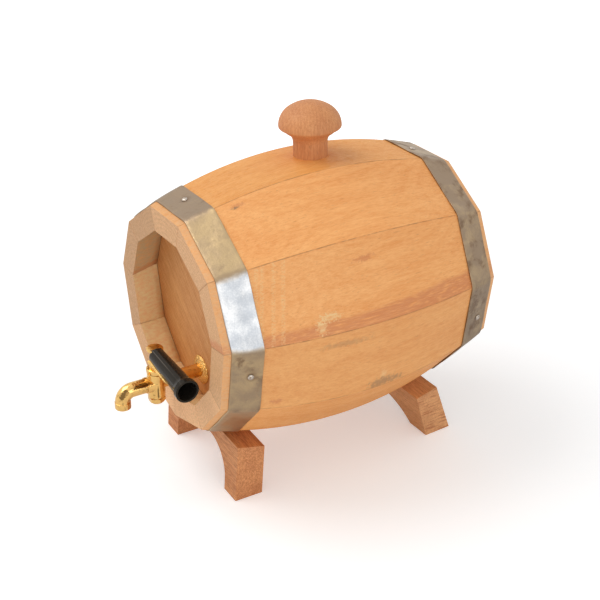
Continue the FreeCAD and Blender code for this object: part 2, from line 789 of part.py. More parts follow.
def make_foot(name, side, carried):
    """A plank with an arch under it, cut to the cask on top; with its two screws."""
    label = "%s_foot" % name
    lean = "%s_foot_lean" % name
    inward = "" if side == "-" else "-"
    outer_y = "(%s - %s * tan(%s))" % (foot_reach(name), clear_height(name), lean)
    inner_y = "(%s - foot_thickness * cos(%s))" % (outer_y, lean)

    def seat(y):
        return "(axis_height - %s + %s_seat_depth)" % (joint_radius(y), name)

    body = new_body(label + "_blank", foot_frame(name, side))
    side_view = new_sketch(body, "YZ_Plane")
    inner = inward + "foot_thickness"
    outer_top = "0" if side == "-" else "-rear_foot_taper"
    draw_run(
        side_view,
        [
            ("0", "0"),
            (inner, "foot_thickness * tan(%s)" % lean),
            (inner, "(%s + foot_thickness * sin(%s)) / cos(%s)" % (seat(inner_y), lean, lean)),
            (outer_top, "%s / cos(%s)" % (seat(outer_y), lean)),
        ],
    )
    pad(body, side_view, "2 * %s_foot_half_width" % name, symmetric=True)

    arch = new_sketch(body, "XZ_Plane")
    draw_run(arch, arch_outline(name))
    pocket_through(body, arch)

    screws = []
    for count, across in enumerate(("-", ""), start=1):
        where = chain(
            foot_frame(name, side),
            place(across + "screw_spacing / 2", "%s / 2" % inner, arch_height(name)),
        )
        screw = "%s_screw_%d" % (label, count)
        screws.append(make_screw(screw, where, "%s_screw_length" % name))
    foot = cut(label, body, list(carried) + [hole for _screw, hole in screws])
    screw_group = group(label + "_screws", [screw for screw, _hole in screws])
    return [foot, screw_group], [hole for _screw, hole in screws]


def make_screw(label, where, length):
    """A slotted countersunk wood screw, head down, and the hole that it fills."""

    def screw_shape(suffix, fit):
        head = primitive(
            "Cone",
            label + suffix + "_head",
            where,
            Radius1="screw_head_radius + " + fit,
            Radius2="screw_radius + " + fit,
            Height="screw_head_height",
        )
        shank = primitive(
            "Cylinder",
            label + suffix + "_shank",
            where,
            Radius="screw_radius + " + fit,
            Height=length,
        )
        return fuse(label + suffix, head, shank)

    slot = primitive(
        "Box",
        label + "_slot",
        chain(where, place("-screw_slot_width / 2", "-screw_head_radius", "0")),
        Length="screw_slot_width",
        Width="2 * screw_head_radius",
        Height="screw_slot_depth",
    )
    screw = cut(label, screw_shape("_full", "0"), [slot])
    return screw, screw_shape("_hole", "fastener_fit")


# ----------------------------------------------------------------------------------------------
# The tap

TAP = chain(CASK, place("0", "-(%s + tap_standoff)" % HALF, "-" + TAP_DROP))
HANDLE = chain(TAP, place("0", "0", "0", "0; 0; 1", "lever_angle"))
SHANK_LENGTH = "(tap_standoff + head_recess)"
SPIGOT_END = "(%s + head_thickness + spigot_overhang)" % SHANK_LENGTH
COLLAR_FOOT = "(barrel_above + turning_gap)"
COLLAR_TOP = "(%s + collar_height)" % COLLAR_FOOT
WASHER_TOP = "(-barrel_below - turning_gap)"
NUT_TOP = "(%s - washer_thickness)" % WASHER_TOP
NUT_FOOT = "(%s - nut_height)" % NUT_TOP
PIN_END = "(%s + square_height + pin_length)" % COLLAR_TOP


def make_tap_body():
    """The upright barrel with the shank behind it and the spout's boss in front."""
    body = turned_body(
        "tap_body",
        TAP,
        "XZ_Plane",
        "V_Axis",
        [
            ("0", "-barrel_below"),
            ("barrel_radius - barrel_edge", "-barrel_below"),
            ("barrel_radius", "barrel_edge - barrel_below"),
            ("barrel_radius", "barrel_above - barrel_edge"),
            ("barrel_radius - barrel_edge", "barrel_above"),
            ("0", "barrel_above"),
        ],
    )
    level = new_sketch(body, "YZ_Plane")
    draw_run(
        level,
        [
            ("-boss_length", "0"),
            (SPIGOT_END, "0"),
            (SPIGOT_END, "spigot_radius"),
            (SHANK_LENGTH, "spigot_radius"),
            (SHANK_LENGTH, "shank_radius"),
            ("0", "shank_radius"),
            ("0", "boss_radius"),
            ("-boss_length", "boss_radius"),
        ],
    )
    turn(body, level, "H_Axis")
    plug_seat = [
        ("0", "-barrel_below"),
        ("plug_bottom_radius + plug_fit", "-barrel_below"),
        ("plug_top_radius + plug_fit", "barrel_above"),
        ("0", "barrel_above"),
    ]
    groove(body, "XZ_Plane", "V_Axis", plug_seat)
    groove(body, "YZ_Plane", "H_Axis", ring("-boss_length", SPIGOT_END, "0", "flow_radius"))
    socket_end = "socket_depth - boss_length"
    groove(body, "YZ_Plane", "H_Axis", ring("-boss_length", socket_end, "0", "socket_radius"))
    return body


def sweep(body, kind, radius):
    """Sweep a circle along the spout's line: level, round the elbow and down."""
    bend = "elbow_radius - spout_reach"
    path = new_sketch(body, "YZ_Plane")
    draw_run(
        path,
        [
            ("-boss_length", "0"),
            (bend, "0", "elbow_radius"),
            ("-spout_reach", "-elbow_radius"),
            ("-spout_reach", "-outlet_drop"),
        ],
        closed=False,
    )
    path.Visibility = False
    section = new_sketch(body, "XZ_Plane", place("0", "0", "boss_length"))
    draw_circle(section, "0", "0", radius)
    feature = add_feature(body, kind, section)
    feature.Spine = (path, ["Edge1", "Edge2", "Edge3"])


def make_tap_spout():
    body = new_body("tap_spout", TAP)
    sweep(body, "AdditivePipe", "spout_radius")
    outlet = new_sketch(body, "XY_Plane", place("0", "0", "-outlet_drop"))
    draw_circle(outlet, "0", "-spout_reach", "outlet_radius")
    pad(body, outlet, "outlet_height")
    socket_end = "socket_depth - boss_length"
    spigot = new_sketch(body, "YZ_Plane")
    draw_run(spigot, ring("-boss_length", socket_end, "0", "socket_radius - brass_fit"))
    turn(body, spigot, "H_Axis")
    sweep(body, "SubtractivePipe", "spout_bore")
    groove(body, "YZ_Plane", "H_Axis", ring("-boss_length", socket_end, "0", "spout_bore"))
    return body


def make_tap_rosette():
    """The domed plate against the head, hollowed behind for the seal."""
    front = "(%s - rosette_thickness)" % SHANK_LENGTH
    recess = "(%s - seal_thickness)" % SHANK_LENGTH
    return turned_body(
        "tap_rosette",
        TAP,
        "YZ_Plane",
        "H_Axis",
        [
            (SHANK_LENGTH, "seal_radius"),
            (SHANK_LENGTH, "rosette_radius"),
            ("%s - rosette_rim" % SHANK_LENGTH, "rosette_radius", "rosette_arc"),
            (front, "rosette_hub_radius"),
            (front, "shank_radius + brass_fit"),
            (recess, "shank_radius + brass_fit"),
            (recess, "seal_radius"),
        ],
    )


def make_tap_seal():
    face = "(%s - seal_thickness)" % SHANK_LENGTH
    return turned_body(
        "tap_seal",
        TAP,
        "YZ_Plane",
        "H_Axis",
        ring(face, SHANK_LENGTH, "shank_radius + brass_fit", "seal_radius - brass_fit"),
    )


def draw_square(sketch, side):
    half = "%s / 2" % side
    other = "-%s / 2" % side
    draw_run(sketch, [(other, other), (half, other), (half, half), (other, half)])


def make_tap_plug():
    """The tapered plug with its collar, a square and a pin for the lever, and a thread below."""
    body = turned_body(
        "tap_plug",
        HANDLE,
        "XZ_Plane",
        "V_Axis",
        [
            ("0", NUT_FOOT),
            ("stud_radius", NUT_FOOT),
            ("stud_radius", "-barrel_below"),
            ("plug_bottom_radius", "-barrel_below"),
            ("plug_top_radius", "barrel_above"),
            ("plug_top_radius", COLLAR_FOOT),
            ("collar_radius - barrel_edge", COLLAR_FOOT),
            ("collar_radius", "%s + barrel_edge" % COLLAR_FOOT),
            ("collar_radius", "%s - barrel_edge" % COLLAR_TOP),
            ("collar_radius - barrel_edge", COLLAR_TOP),
            ("pin_radius", COLLAR_TOP),
            ("pin_radius", PIN_END),
            ("0", PIN_END),
        ],
    )
    square = new_sketch(body, "XY_Plane", place("0", "0", COLLAR_TOP))
    draw_square(square, "square_side")
    pad(body, square, "square_height")
    passage = new_sketch(body, "YZ_Plane")
    draw_circle(passage, "0", "0", "flow_radius")
    pocket_through(body, passage)
    return body


def make_tap_lever():
    """A flared button on a neck and a foot, with a trough that carries the grip."""
    button_edge = "(lever_top - button_dome - button_edge)"
    body = turned_body(
        "tap_lever",
        HANDLE,
        "XZ_Plane",
        "V_Axis",
        [
            ("0", COLLAR_TOP),
            ("hub_radius", COLLAR_TOP),
            ("hub_radius", "%s + hub_height" % COLLAR_TOP),
            ("neck_radius", "%s + hub_height" % COLLAR_TOP),
            ("neck_radius", "%s - button_flare" % button_edge, "-button_arc"),
            ("button_radius", button_edge),
            (
                "button_radius",
                "lever_top - button_dome",
                dome_arc("button_radius", "button_dome"),
            ),
            ("0", "lever_top"),
        ],
    )
    root = "(grip_root_radius + brass_fit)"
    slope = "((grip_end_radius - grip_root_radius) / (grip_taper_end - grip_start - grip_round))"
    tip = "(%s + %s * tray_length)" % (root, slope)
    tray = new_sketch(body, "XZ_Plane", place("0", "lever_height", "0"))
    draw_run(
        tray,
        [
            ("tray_start", "-" + root),
            ("tray_length", "-" + tip),
            ("tray_length", "-%s - tray_tip" % tip),
            ("tray_start", "-%s - tray_root" % root),
        ],
    )
    turn(body, tray, "H_Axis", "tray_angle")
    grip_room = new_sketch(body, "XZ_Plane", place("0", "lever_height", "0"))
    draw_run(grip_room, ring("grip_start - brass_fit", "2 * button_radius", "0", root))
    turn(body, grip_room, "H_Axis", cut=True)
    socket = new_sketch(body, "XY_Plane", place("0", "0", COLLAR_TOP))
    draw_square(socket, "(square_side + 2 * brass_fit)")
    pocket_up(body, socket, "square_height + brass_fit")
    groove(body, "XZ_Plane", "V_Axis", ring("0", "pin_radius + brass_fit", COLLAR_TOP, PIN_END))
    return body


def make_lever_grip():
    """A tapered sleeve, rounded at the plug and flared and hollow at its free end."""
    body = new_body("lever_grip", HANDLE)
    outline = new_sketch(body, "XZ_Plane", place("0", "lever_height", "0"))
    draw_run(
        outline,
        [
            ("grip_start", "0"),
            ("grip_end - hollow_depth", "0"),
            ("grip_end - hollow_depth", "hollow_root_radius"),
            ("grip_end", "hollow_radius"),
            ("grip_end", "flare_radius"),
            ("grip_end - flare_length", "flare_radius"),
            ("grip_taper_end", "grip_end_radius"),
            ("grip_start + grip_round", "grip_root_radius", "grip_round"),
            ("grip_start", "grip_root_radius - grip_round"),
        ],
    )
    turn(body, outline, "H_Axis")
    return body


def make_plug_nut():
    """The hexagon nut under the barrel, chamfered below."""
    body = new_body("plug_nut", HANDLE)
    hexagon = new_sketch(body, "XY_Plane", place("0", "0", NUT_FOOT))
    corner = "(nut_across_flats / (2 * cos(30)))"
    corners = []
    for step in range(6):
        angle = 60 * step
        corners.append(("%s * cos(%d)" % (corner, angle), "%s * sin(%d)" % (corner, angle)))
    draw_run(hexagon, corners)
    pad(body, hexagon, "nut_height")
    bore = ring("0", "stud_radius + brass_fit", NUT_FOOT, NUT_TOP)
    chamfer = [
        ("%s - nut_chamfer" % corner, NUT_FOOT),
        (corner, NUT_FOOT),
        (corner, "%s + nut_chamfer" % NUT_FOOT),
    ]
    groove(body, "XZ_Plane", "V_Axis", bore, chamfer)
    return body


def make_tap():
    washer = turned_body(
        "plug_washer",
        HANDLE,
        "XZ_Plane",
        "V_Axis",
        ring("stud_radius + brass_fit", "washer_radius", NUT_TOP, WASHER_TOP),
    )
    return [
        make_tap_body(),
        make_tap_spout(),
        make_tap_rosette(),
        make_tap_seal(),
        make_tap_plug(),
        make_tap_lever(),
        make_lever_grip(),
        washer,
        make_plug_nut(),
    ]


# ----------------------------------------------------------------------------------------------
# The whole cask


def make_cask():
    """Every piece, as the objects that become its nodes."""
    blanks = {stave: make_stave_blank(stave) for stave in range(1, STAVE_COUNT + 1)}
    tools = {stave: [] for stave in blanks}
    pieces = make_heads()

    hoops = []
    for end, sign in (("front", "-"), ("rear", "")):
        made, nail_holes = make_hoop(end, sign)
        pieces += made
        hoops.append(made[0])
        for stave, hole in nail_holes.items():
            tools[stave].append(hole)

    bung, bung_hole = make_bung()
    pieces.append(bung)
    tools[1].append(bung_hole)

    for name, side, hoop in (("front", "-", hoops[0]), ("rear", "", hoops[1])):
        carried = [blanks[stave] for stave in FOOT_STAVES] + [hoop]
        made, screw_holes = make_foot(name, side, carried)
        pieces += made
        for stave in SCREWED_STAVES:
            tools[stave] += screw_holes

    for stave, blank in blanks.items():
        label = "stave_%02d" % stave
        if tools[stave]:
            pieces.append(cut(label, blank, tools[stave]))
        else:
            blank.Label = label
            pieces.append(blank)
    return pieces + make_tap()


def check(pieces):
    """Stop on anything that failed to build."""
    for item in DOC.Objects:
        if "Invalid" in item.State or "Error" in item.State:
            raise RuntimeError("%s failed: %s" % (item.Label, item.State))
    for piece in pieces:
        if piece.Shape.isNull() or not piece.Shape.isValid() or piece.Shape.Volume <= 0:
            raise RuntimeError("%s has no valid shape" % piece.Label)


def export(pieces):
    os.makedirs("parts", exist_ok=True)
    for piece in pieces:
        piece.Shape.exportStep("parts/%s.step" % piece.Label)


PIECES = make_cask()
DOC.recompute()
check(PIECES)
export(PIECES)
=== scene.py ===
"""Dresses the cask, its feet, bung and brass tap, and sets them on a pale floor in soft light."""

import json
import math

import bmesh
import bpy
import numpy as np
from mathutils import Matrix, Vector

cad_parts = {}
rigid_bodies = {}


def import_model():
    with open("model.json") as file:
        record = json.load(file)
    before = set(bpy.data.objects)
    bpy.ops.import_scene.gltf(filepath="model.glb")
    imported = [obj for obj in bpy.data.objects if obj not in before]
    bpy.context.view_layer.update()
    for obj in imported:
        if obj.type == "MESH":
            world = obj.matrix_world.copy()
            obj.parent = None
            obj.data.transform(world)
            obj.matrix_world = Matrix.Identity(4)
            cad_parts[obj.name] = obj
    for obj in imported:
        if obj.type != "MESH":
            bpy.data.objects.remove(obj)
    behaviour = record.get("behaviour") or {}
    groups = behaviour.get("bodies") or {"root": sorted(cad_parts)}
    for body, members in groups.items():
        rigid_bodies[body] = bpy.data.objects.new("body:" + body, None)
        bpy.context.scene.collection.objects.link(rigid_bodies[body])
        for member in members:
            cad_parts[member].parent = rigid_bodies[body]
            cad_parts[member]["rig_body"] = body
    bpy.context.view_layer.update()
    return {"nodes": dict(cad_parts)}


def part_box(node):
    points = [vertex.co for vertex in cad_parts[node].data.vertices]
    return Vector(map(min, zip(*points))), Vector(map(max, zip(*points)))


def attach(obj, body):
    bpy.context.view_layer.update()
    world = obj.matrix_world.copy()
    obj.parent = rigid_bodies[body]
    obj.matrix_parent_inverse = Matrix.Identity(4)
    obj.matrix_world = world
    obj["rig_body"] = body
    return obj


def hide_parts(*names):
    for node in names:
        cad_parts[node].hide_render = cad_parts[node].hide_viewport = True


bl_info = {
    "name": "Small oak cask with a plug tap",
    "version": (1, 0, 0),
    "blender": (4, 5, 0),
    "location": "3D View > Sidebar > Cask",
    "description": "Wood, hoops, brass and light for a small cask on two arched feet",
    "category": "Object",
}

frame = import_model()
NODES = frame["nodes"]

MM = 1000.0  # to a metre: the materials work in millimetres
AXIS_HEIGHT = 0.142
MIDDLE_Y = 0.02475
BUNG_LEAN = math.radians(3.95)

# The staves are numbered clockwise, seen from the tap, and stave 1 carries the bung. Angles round
# the cask are in degrees from straight up.
FIRST_JOINT = -19.6
STAVE_ANGLES = (31.3, 34.1, 34.7, 33.9, 32.6, 31.9, 30.1, 30.0, 34.9, 31.6, 34.9)
STAVES = range(1, len(STAVE_ANGLES) + 1)
NAILED_STAVES = (1, 4, 7, 10)
LAPPED_STAVE = 8


def stave_name(number):
    return "stave_%02d" % number


def joint_angle(number):
    """Where a stave begins."""
    return FIRST_JOINT + sum(STAVE_ANGLES[: number - 1])


def middle_angle(number):
    return joint_angle(number) + STAVE_ANGLES[number - 1] / 2


# ------------------------------------------------------------
# Settings


def colour_setting(name, description, value):
    return bpy.props.FloatVectorProperty(
        name=name, description=description, default=value, size=3, min=0, max=1, subtype="COLOR"
    )


def size_setting(name, description, value):
    return bpy.props.FloatProperty(
        name=name, description=description, default=value, min=0, unit="LENGTH", precision=5
    )


def share_setting(name, description, value):
    return bpy.props.FloatProperty(
        name=name, description=description, default=value, min=0, max=1, subtype="FACTOR"
    )


def angle_setting(name, description, degrees):
    return bpy.props.FloatProperty(
        name=name, description=description, default=math.radians(degrees), subtype="ANGLE"
    )


class CaskWood(bpy.types.PropertyGroup):
    """The pale wood of staves and heads."""

    pale: colour_setting("Early wood", "Pale wood between the growth rings", (0.945, 0.475, 0.172))
    dark: colour_setting("Late wood", "Darker wood of the growth rings", (0.79, 0.305, 0.080))
    pore: colour_setting("Pores", "Short dark pores along the grain", (0.50, 0.20, 0.065))
    heart: colour_setting("Heartwood", "Reddish streak near a joint", (0.60, 0.205, 0.078))
    end: colour_setting("End grain", "Sawn ends of the staves", (0.76, 0.445, 0.225))
    scraped: colour_setting("Scraped wood", "Fresh wood where it is chipped", (0.86, 0.58, 0.28))
    stain: colour_setting("Stain", "Grey weather stain", (0.25, 0.155, 0.08))
    joint: colour_setting("Joint", "Dirt in the joints between the staves", (0.24, 0.11, 0.04))
    # The inside colour is pale as painted light on the shaded inside faces of the staves.
    inner: colour_setting("Inside", "Pale sawn inside of the staves", (0.93, 0.80, 0.48))
    roughness: share_setting("Roughness", "Of the sanded surface", 0.56)
    edge: size_setting("Broken edge", "Rounding along each stave's edges", 0.00025)


class RedWood(bpy.types.PropertyGroup):
    """The reddish wood of feet and bung."""

    foot_pale: colour_setting("Foot, pale", "Pale wood of the feet", (0.84, 0.386, 0.152))
    foot_dark: colour_setting("Foot, dark", "Growth rings of the feet", (0.46, 0.155, 0.052))
    bung_pale: colour_setting("Bung, pale", "Pale wood of the bung", (0.72, 0.325, 0.125))
    bung_dark: colour_setting("Bung, dark", "Growth rings of the bung", (0.54, 0.20, 0.075))
    pore: colour_setting("Pores", "Short dark pores along the grain", (0.27, 0.095, 0.04))
    roughness: share_setting("Roughness", "Of the planed surface", 0.60)
    edge: size_setting("Broken edge", "Rounding along the planks' edges", 0.0006)


class HoopMetal(bpy.types.PropertyGroup):
    """The galvanised hoops and their nails."""

    # These two colours make only the painted highlight on one facet of the front hoop.
    bright: colour_setting("Bright zinc", "Galvanised steel, rubbed clean", (0.60, 0.605, 0.61))
    grey: colour_setting("Grey zinc", "Blotches on the bright zinc", (0.37, 0.39, 0.42))
    zinc: colour_setting("Zinc", "Clean but yellowed zinc", (0.54, 0.392, 0.215))
    dull: colour_setting("Dull zinc", "Brownish, tarnished zinc", (0.325, 0.237, 0.160))
    stain: colour_setting("Stain", "Brown stain on the hoops", (0.20, 0.125, 0.075))
    nail: colour_setting("Nail", "Bright nail heads", (0.62, 0.56, 0.50))
    roughness: share_setting("Roughness", "Of the dull zinc", 0.36)
    thickness: size_setting("Thickness", "Of the steel strip", 0.0011)
    fold: size_setting("Fold", "Length over which the strip bends at a stave joint", 0.0075)
    edge: size_setting("Edge", "Rounding of the strip's edges", 0.00035)
    lap: size_setting("Lap", "Length of the strip that lies double under the rivets", 0.026)
    wave: size_setting("Waves", "How far the hammered strip swells in and out", 0.00011)


class TapFinish(bpy.types.PropertyGroup):
    """The polished brass tap and its black grip."""

    brass: colour_setting("Brass", "Polished brass", (0.89, 0.55, 0.185))
    # This dark colour also paints the dark reflections on the brass and the shade line round the
    # plug.
    tarnish_reflection_and_shade: colour_setting("Tarnish", "Streaks of dark tarnish", (0.11, 0.055, 0.018))
    roughness: share_setting("Roughness", "Of the polished brass", 0.09)
    # This colour paints a highlight streak along the grip.
    seam: colour_setting("Seam", "Parting line of the moulded grip", (0.16, 0.14, 0.12))
    grip: colour_setting("Grip", "Glossy black plastic", (0.016, 0.013, 0.010))
    edge: size_setting("Edge", "Rounding of the turned edges", 0.00018)


class Stage(bpy.types.PropertyGroup):
    """Camera, floor and lamps."""

    azimuth: angle_setting("Azimuth", "Camera's direction, from -Y towards +X", 59.09)
    elevation: angle_setting("Elevation", "Camera's height over the horizon", 29.89)
    roll: angle_setting("Roll", "Camera's turn about its own view", 0.97)
    lens: bpy.props.FloatProperty(
        name="Lens", description="Focal length for a 36 mm sensor", default=82.9, unit="CAMERA"
    )
    eye: bpy.props.FloatVectorProperty(
        name="Eye",
        description="Where the camera stands",
        default=(0.82646, -0.47577, 0.68012),
        size=3,
        unit="LENGTH",
        subtype="TRANSLATION",
    )
    floor: colour_setting("Floor", "Pale floor", (0.90, 0.92, 0.95))
    glow: share_setting("Glow", "How far the floor is lifted towards white behind the object", 0.28)
    sky: bpy.props.FloatProperty(
        name="Sky", description="Strength of the light from all round", default=0.62, min=0
    )
    key: bpy.props.FloatProperty(
        name="Key lamp", description="Large lamp beside the cask", default=6.0, unit="POWER"
    )
    top: bpy.props.FloatProperty(
        name="Top lamp", description="Large lamp overhead", default=18.0, unit="POWER"
    )


SETTINGS = {
    "cask_wood": CaskWood,
    "red_wood": RedWood,
    "hoop_metal": HoopMetal,
    "tap_finish": TapFinish,
    "cask_stage": Stage,
}


# ------------------------------------------------------------
# Shader nodes


def feed(tree, node, inputs):
    """Link each input whose value is a socket, and set the others."""
    for name, value in inputs.items():
        socket = node.inputs[name]
        if isinstance(value, bpy.types.NodeSocket):
            tree.links.new(value, socket)
        elif socket.type == "RGBA":
            socket.default_value = (*tuple(value)[:3], 1)
        else:
            socket.default_value = value


def add_node(tree, kind, inputs=None, **settings):
    node = tree.nodes.new("ShaderNode" + kind)
    for name, value in settings.items():
        setattr(node, name, value)
    feed(tree, node, inputs or {})
    return node


def calculate(tree, operation, first, second=0.0, third=0.0, clamp=False):
    inputs = {0: first, 1: second, 2: third}
    return add_node(tree, "Math", inputs, operation=operation, use_clamp=clamp).outputs[0]


def times(tree, first, second, clamp=False):
    return calculate(tree, "MULTIPLY", first, second, clamp=clamp)


def add_share(tree, value, share, base, clamp=False):
    return calculate(tree, "MULTIPLY_ADD", value, share, base, clamp)


def combine(tree, operation, first, second=(0.0, 0.0, 0.0)):
    """A vector operation; the answer is a vector, or a number for a length or a dot product."""
    node = add_node(tree, "VectorMath", {0: first, 1: second}, operation=operation)
    return node.outputs["Value" if operation in ("LENGTH", "DOT_PRODUCT") else "Vector"]


def stretch(tree, vector, across, along, up):
    """Scale the three coordinates by one number each."""
    return combine(tree, "MULTIPLY", vector, (across, along, up))


def component(tree, vector, axis):
    return add_node(tree, "SeparateXYZ", {0: vector}).outputs[axis]


def ease(tree, value, low, high, bottom=0.0, top=1.0):
    """Smoothly from bottom, where the value is at low, to top, where it is at high."""
    inputs = {"Value": value, "From Min": low, "From Max": high, "To Min": bottom, "To Max": top}
    return add_node(tree, "MapRange", inputs, interpolation_type="SMOOTHSTEP").outputs[0]


def tint(tree, share, first, second):
    """Mix two colours."""
    inputs = {0: share, 6: first, 7: second}
    return add_node(tree, "Mix", inputs, data_type="RGBA").outputs[2]


def lay(tree, colour, mask, share, other):
    """Cover a colour with another, by a share of a mask."""
    return tint(tree, times(tree, mask, share), colour, other)


def noise(tree, vector, scale, detail=2.0, roughness=0.5, distortion=0.0, output=0):
    inputs = {"Vector": vector, "Scale": scale, "Detail": detail, "Roughness": roughness}
    return add_node(tree, "TexNoise", {**inputs, "Distortion": distortion}).outputs[output]


def toned(colour, tone, lift=0.0):
    """A colour times a number, or times one for each channel, plus a number."""
    return np.array(colour) * tone + lift


def new_group(name, inputs, outputs):
    """A shader node group: (tree, its inputs' node, a function that links an output)."""
    tree = bpy.data.node_groups.new(name, "ShaderNodeTree")
    for socket, kind, value in inputs:
        made = tree.interface.new_socket(socket, in_out="INPUT", socket_type="NodeSocket" + kind)
        made.default_value = value
    for socket in outputs:
        tree.interface.new_socket(socket, in_out="OUTPUT", socket_type="NodeSocketFloat")
    start = tree.nodes.new("NodeGroupInput")
    end = tree.nodes.new("NodeGroupOutput")

    def give(socket, value):
        tree.links.new(value, end.inputs[socket])

    return tree, start.outputs, give


def add_group(tree, name, inputs):
    node = tree.nodes.new("ShaderNodeGroup")
    node.node_tree = bpy.data.node_groups[name]
    feed(tree, node, inputs)
    return node.outputs


def make_plank_grain():
    """Grain of a board whose fibres run along Y, with lengths in millimetres.

    The rings are circles about the pith, which is the Y axis, pushed about by a slow noise.
    Fibres and pores are noises that are stretched along Y.
    """
    inputs = [
        ("Place", "Vector", (0.0, 0.0, 0.0)),
        ("Ring Width", "Float", 3.0),
        ("Wander", "Float", 4.0),
    ]
    tree, given, give = new_group("plank grain", inputs, ["Rings", "Fibre", "Pores", "Cloud"])
    place = given["Place"]
    slow = noise(tree, stretch(tree, place, 0.03, 0.009, 0.03), 1.0, 2.0, output="Color")
    push = combine(tree, "SUBTRACT", slow, (0.5, 0.5, 0.5))
    push = add_node(tree, "VectorMath", {0: push, "Scale": given["Wander"]}, operation="SCALE")
    bent = combine(tree, "ADD", place, push.outputs["Vector"])
    radius = combine(tree, "LENGTH", stretch(tree, bent, 1.0, 0.0, 1.0))
    turns = calculate(tree, "DIVIDE", radius, given["Ring Width"])
    wave = calculate(tree, "SINE", times(tree, turns, 2 * math.pi))
    give("Rings", ease(tree, wave, -0.5, 1.0))
    fibre = noise(tree, stretch(tree, place, 0.55, 0.022, 0.55), 1.0, 5.0, 0.72)
    short = noise(tree, stretch(tree, place, 1.3, 0.16, 1.3), 1.0, 3.0, 0.7)
    give("Fibre", ease(tree, add_share(tree, short, 1.3, fibre), 0.88, 1.42))
    pore = noise(tree, stretch(tree, place, 1.9, 0.11, 1.9), 1.0, 2.0, 0.6)
    give("Pores", ease(tree, pore, 0.60, 0.74))
    cloud = noise(tree, stretch(tree, place, 0.09, 0.008, 0.09), 1.0, 4.0, 0.55)
    give("Cloud", ease(tree, cloud, 0.32, 0.68))


def make_ragged_spot():
    """One inside an ellipsoid about a centre and nothing outside, with a torn edge."""
    inputs = [
        ("Place", "Vector", (0.0, 0.0, 0.0)),
        ("Centre", "Vector", (0.0, 0.0, 0.0)),
        ("Reach", "Vector", (1.0, 1.0, 1.0)),
        ("Ragged", "Float", 0.5),
        ("Tear", "Float", 0.4),
    ]
    tree, given, give = new_group("ragged spot", inputs, ["Mask"])
    offset = combine(tree, "SUBTRACT", given["Place"], given["Centre"])
    share = combine(tree, "DIVIDE", offset, given["Reach"])
    far = combine(tree, "LENGTH", share)
    torn = noise(tree, given["Place"], given["Tear"], 3.0, 0.6)
    torn = times(tree, calculate(tree, "SUBTRACT", torn, 0.5), given["Ragged"])
    far = calculate(tree, "ADD", far, times(tree, torn, 2.0))
    give("Mask", ease(tree, far, 1.05, 0.2))


def empty_tree(owner):
    """The nodes of a material or a world, with none in it."""
    owner.use_nodes = True
    owner.node_tree.nodes.clear()
    return owner.node_tree


def new_material(name, roughness, metallic=0.0, **constants):
    """A material with one Principled shader: (material, tree, shader)."""
    material = bpy.data.materials.new(name)
    tree = empty_tree(material)
    values = {"Roughness": roughness, "Metallic": metallic, **constants}
    shader = add_node(tree, "BsdfPrincipled", values)
    add_node(tree, "OutputMaterial", {"Surface": shader.outputs[0]})
    return material, tree, shader


def object_place(tree, location=(0.0, 0.0, 0.0), turn=(0.0, 0.0, 0.0)):
    """Object coordinates in millimetres, turned and then moved."""
    place = add_node(tree, "TexCoord").outputs["Object"]
    inputs = {"Vector": place, "Location": location, "Rotation": turn, "Scale": (MM,) * 3}
    return add_node(tree, "Mapping", inputs).outputs[0]


def end_mask(tree, direction):
    """One where the surface is cut across the fibres, which run along a direction."""
    normal = add_node(tree, "TexCoord").outputs["Normal"]
    facing = calculate(tree, "ABSOLUTE", combine(tree, "DOT_PRODUCT", normal, direction))
    return ease(tree, facing, 0.75, 0.95)


def past_joint(tree, number):
    """How far a point lies past the plane of a stave joint, clockwise, in millimetres."""
    angle = math.radians(joint_angle(number))
    place = object_place(tree, (0.0, 0.0, -MM * AXIS_HEIGHT))
    return combine(tree, "DOT_PRODUCT", place, (math.cos(angle), 0.0, -math.sin(angle)))


def joint_lines(tree, number, width):
    """One at the two joints of a stave, and nothing a little way from them; broken by a noise."""
    near = calculate(tree, "ABSOLUTE", past_joint(tree, number))
    far = calculate(tree, "ABSOLUTE", past_joint(tree, number + 1))
    line = ease(tree, calculate(tree, "MINIMUM", near, far), width, 0.3 * width)
    place = object_place(tree)
    gap = noise(tree, stretch(tree, place, 0.05, 0.06, 0.05), 1.0, 4.0, 0.7)
    return times(tree, line, ease(tree, gap, 0.38, 0.62, 0.15, 1.0))


def spot(tree, centre, reach, ragged, tear):
    """A patch about a place of the object, in millimetres; tear is how fine its ragged edge is."""
    inputs = {"Place": object_place(tree), "Centre": centre, "Reach": reach}
    return add_group(tree, "ragged spot", {**inputs, "Ragged": ragged, "Tear": tear})["Mask"]


def add_bump(tree, shader, height, distance, strength):
    inputs = {"Height": height, "Distance": distance, "Strength": strength}
    feed(tree, shader, {"Normal": add_node(tree, "Bump", inputs).outputs["Normal"]})


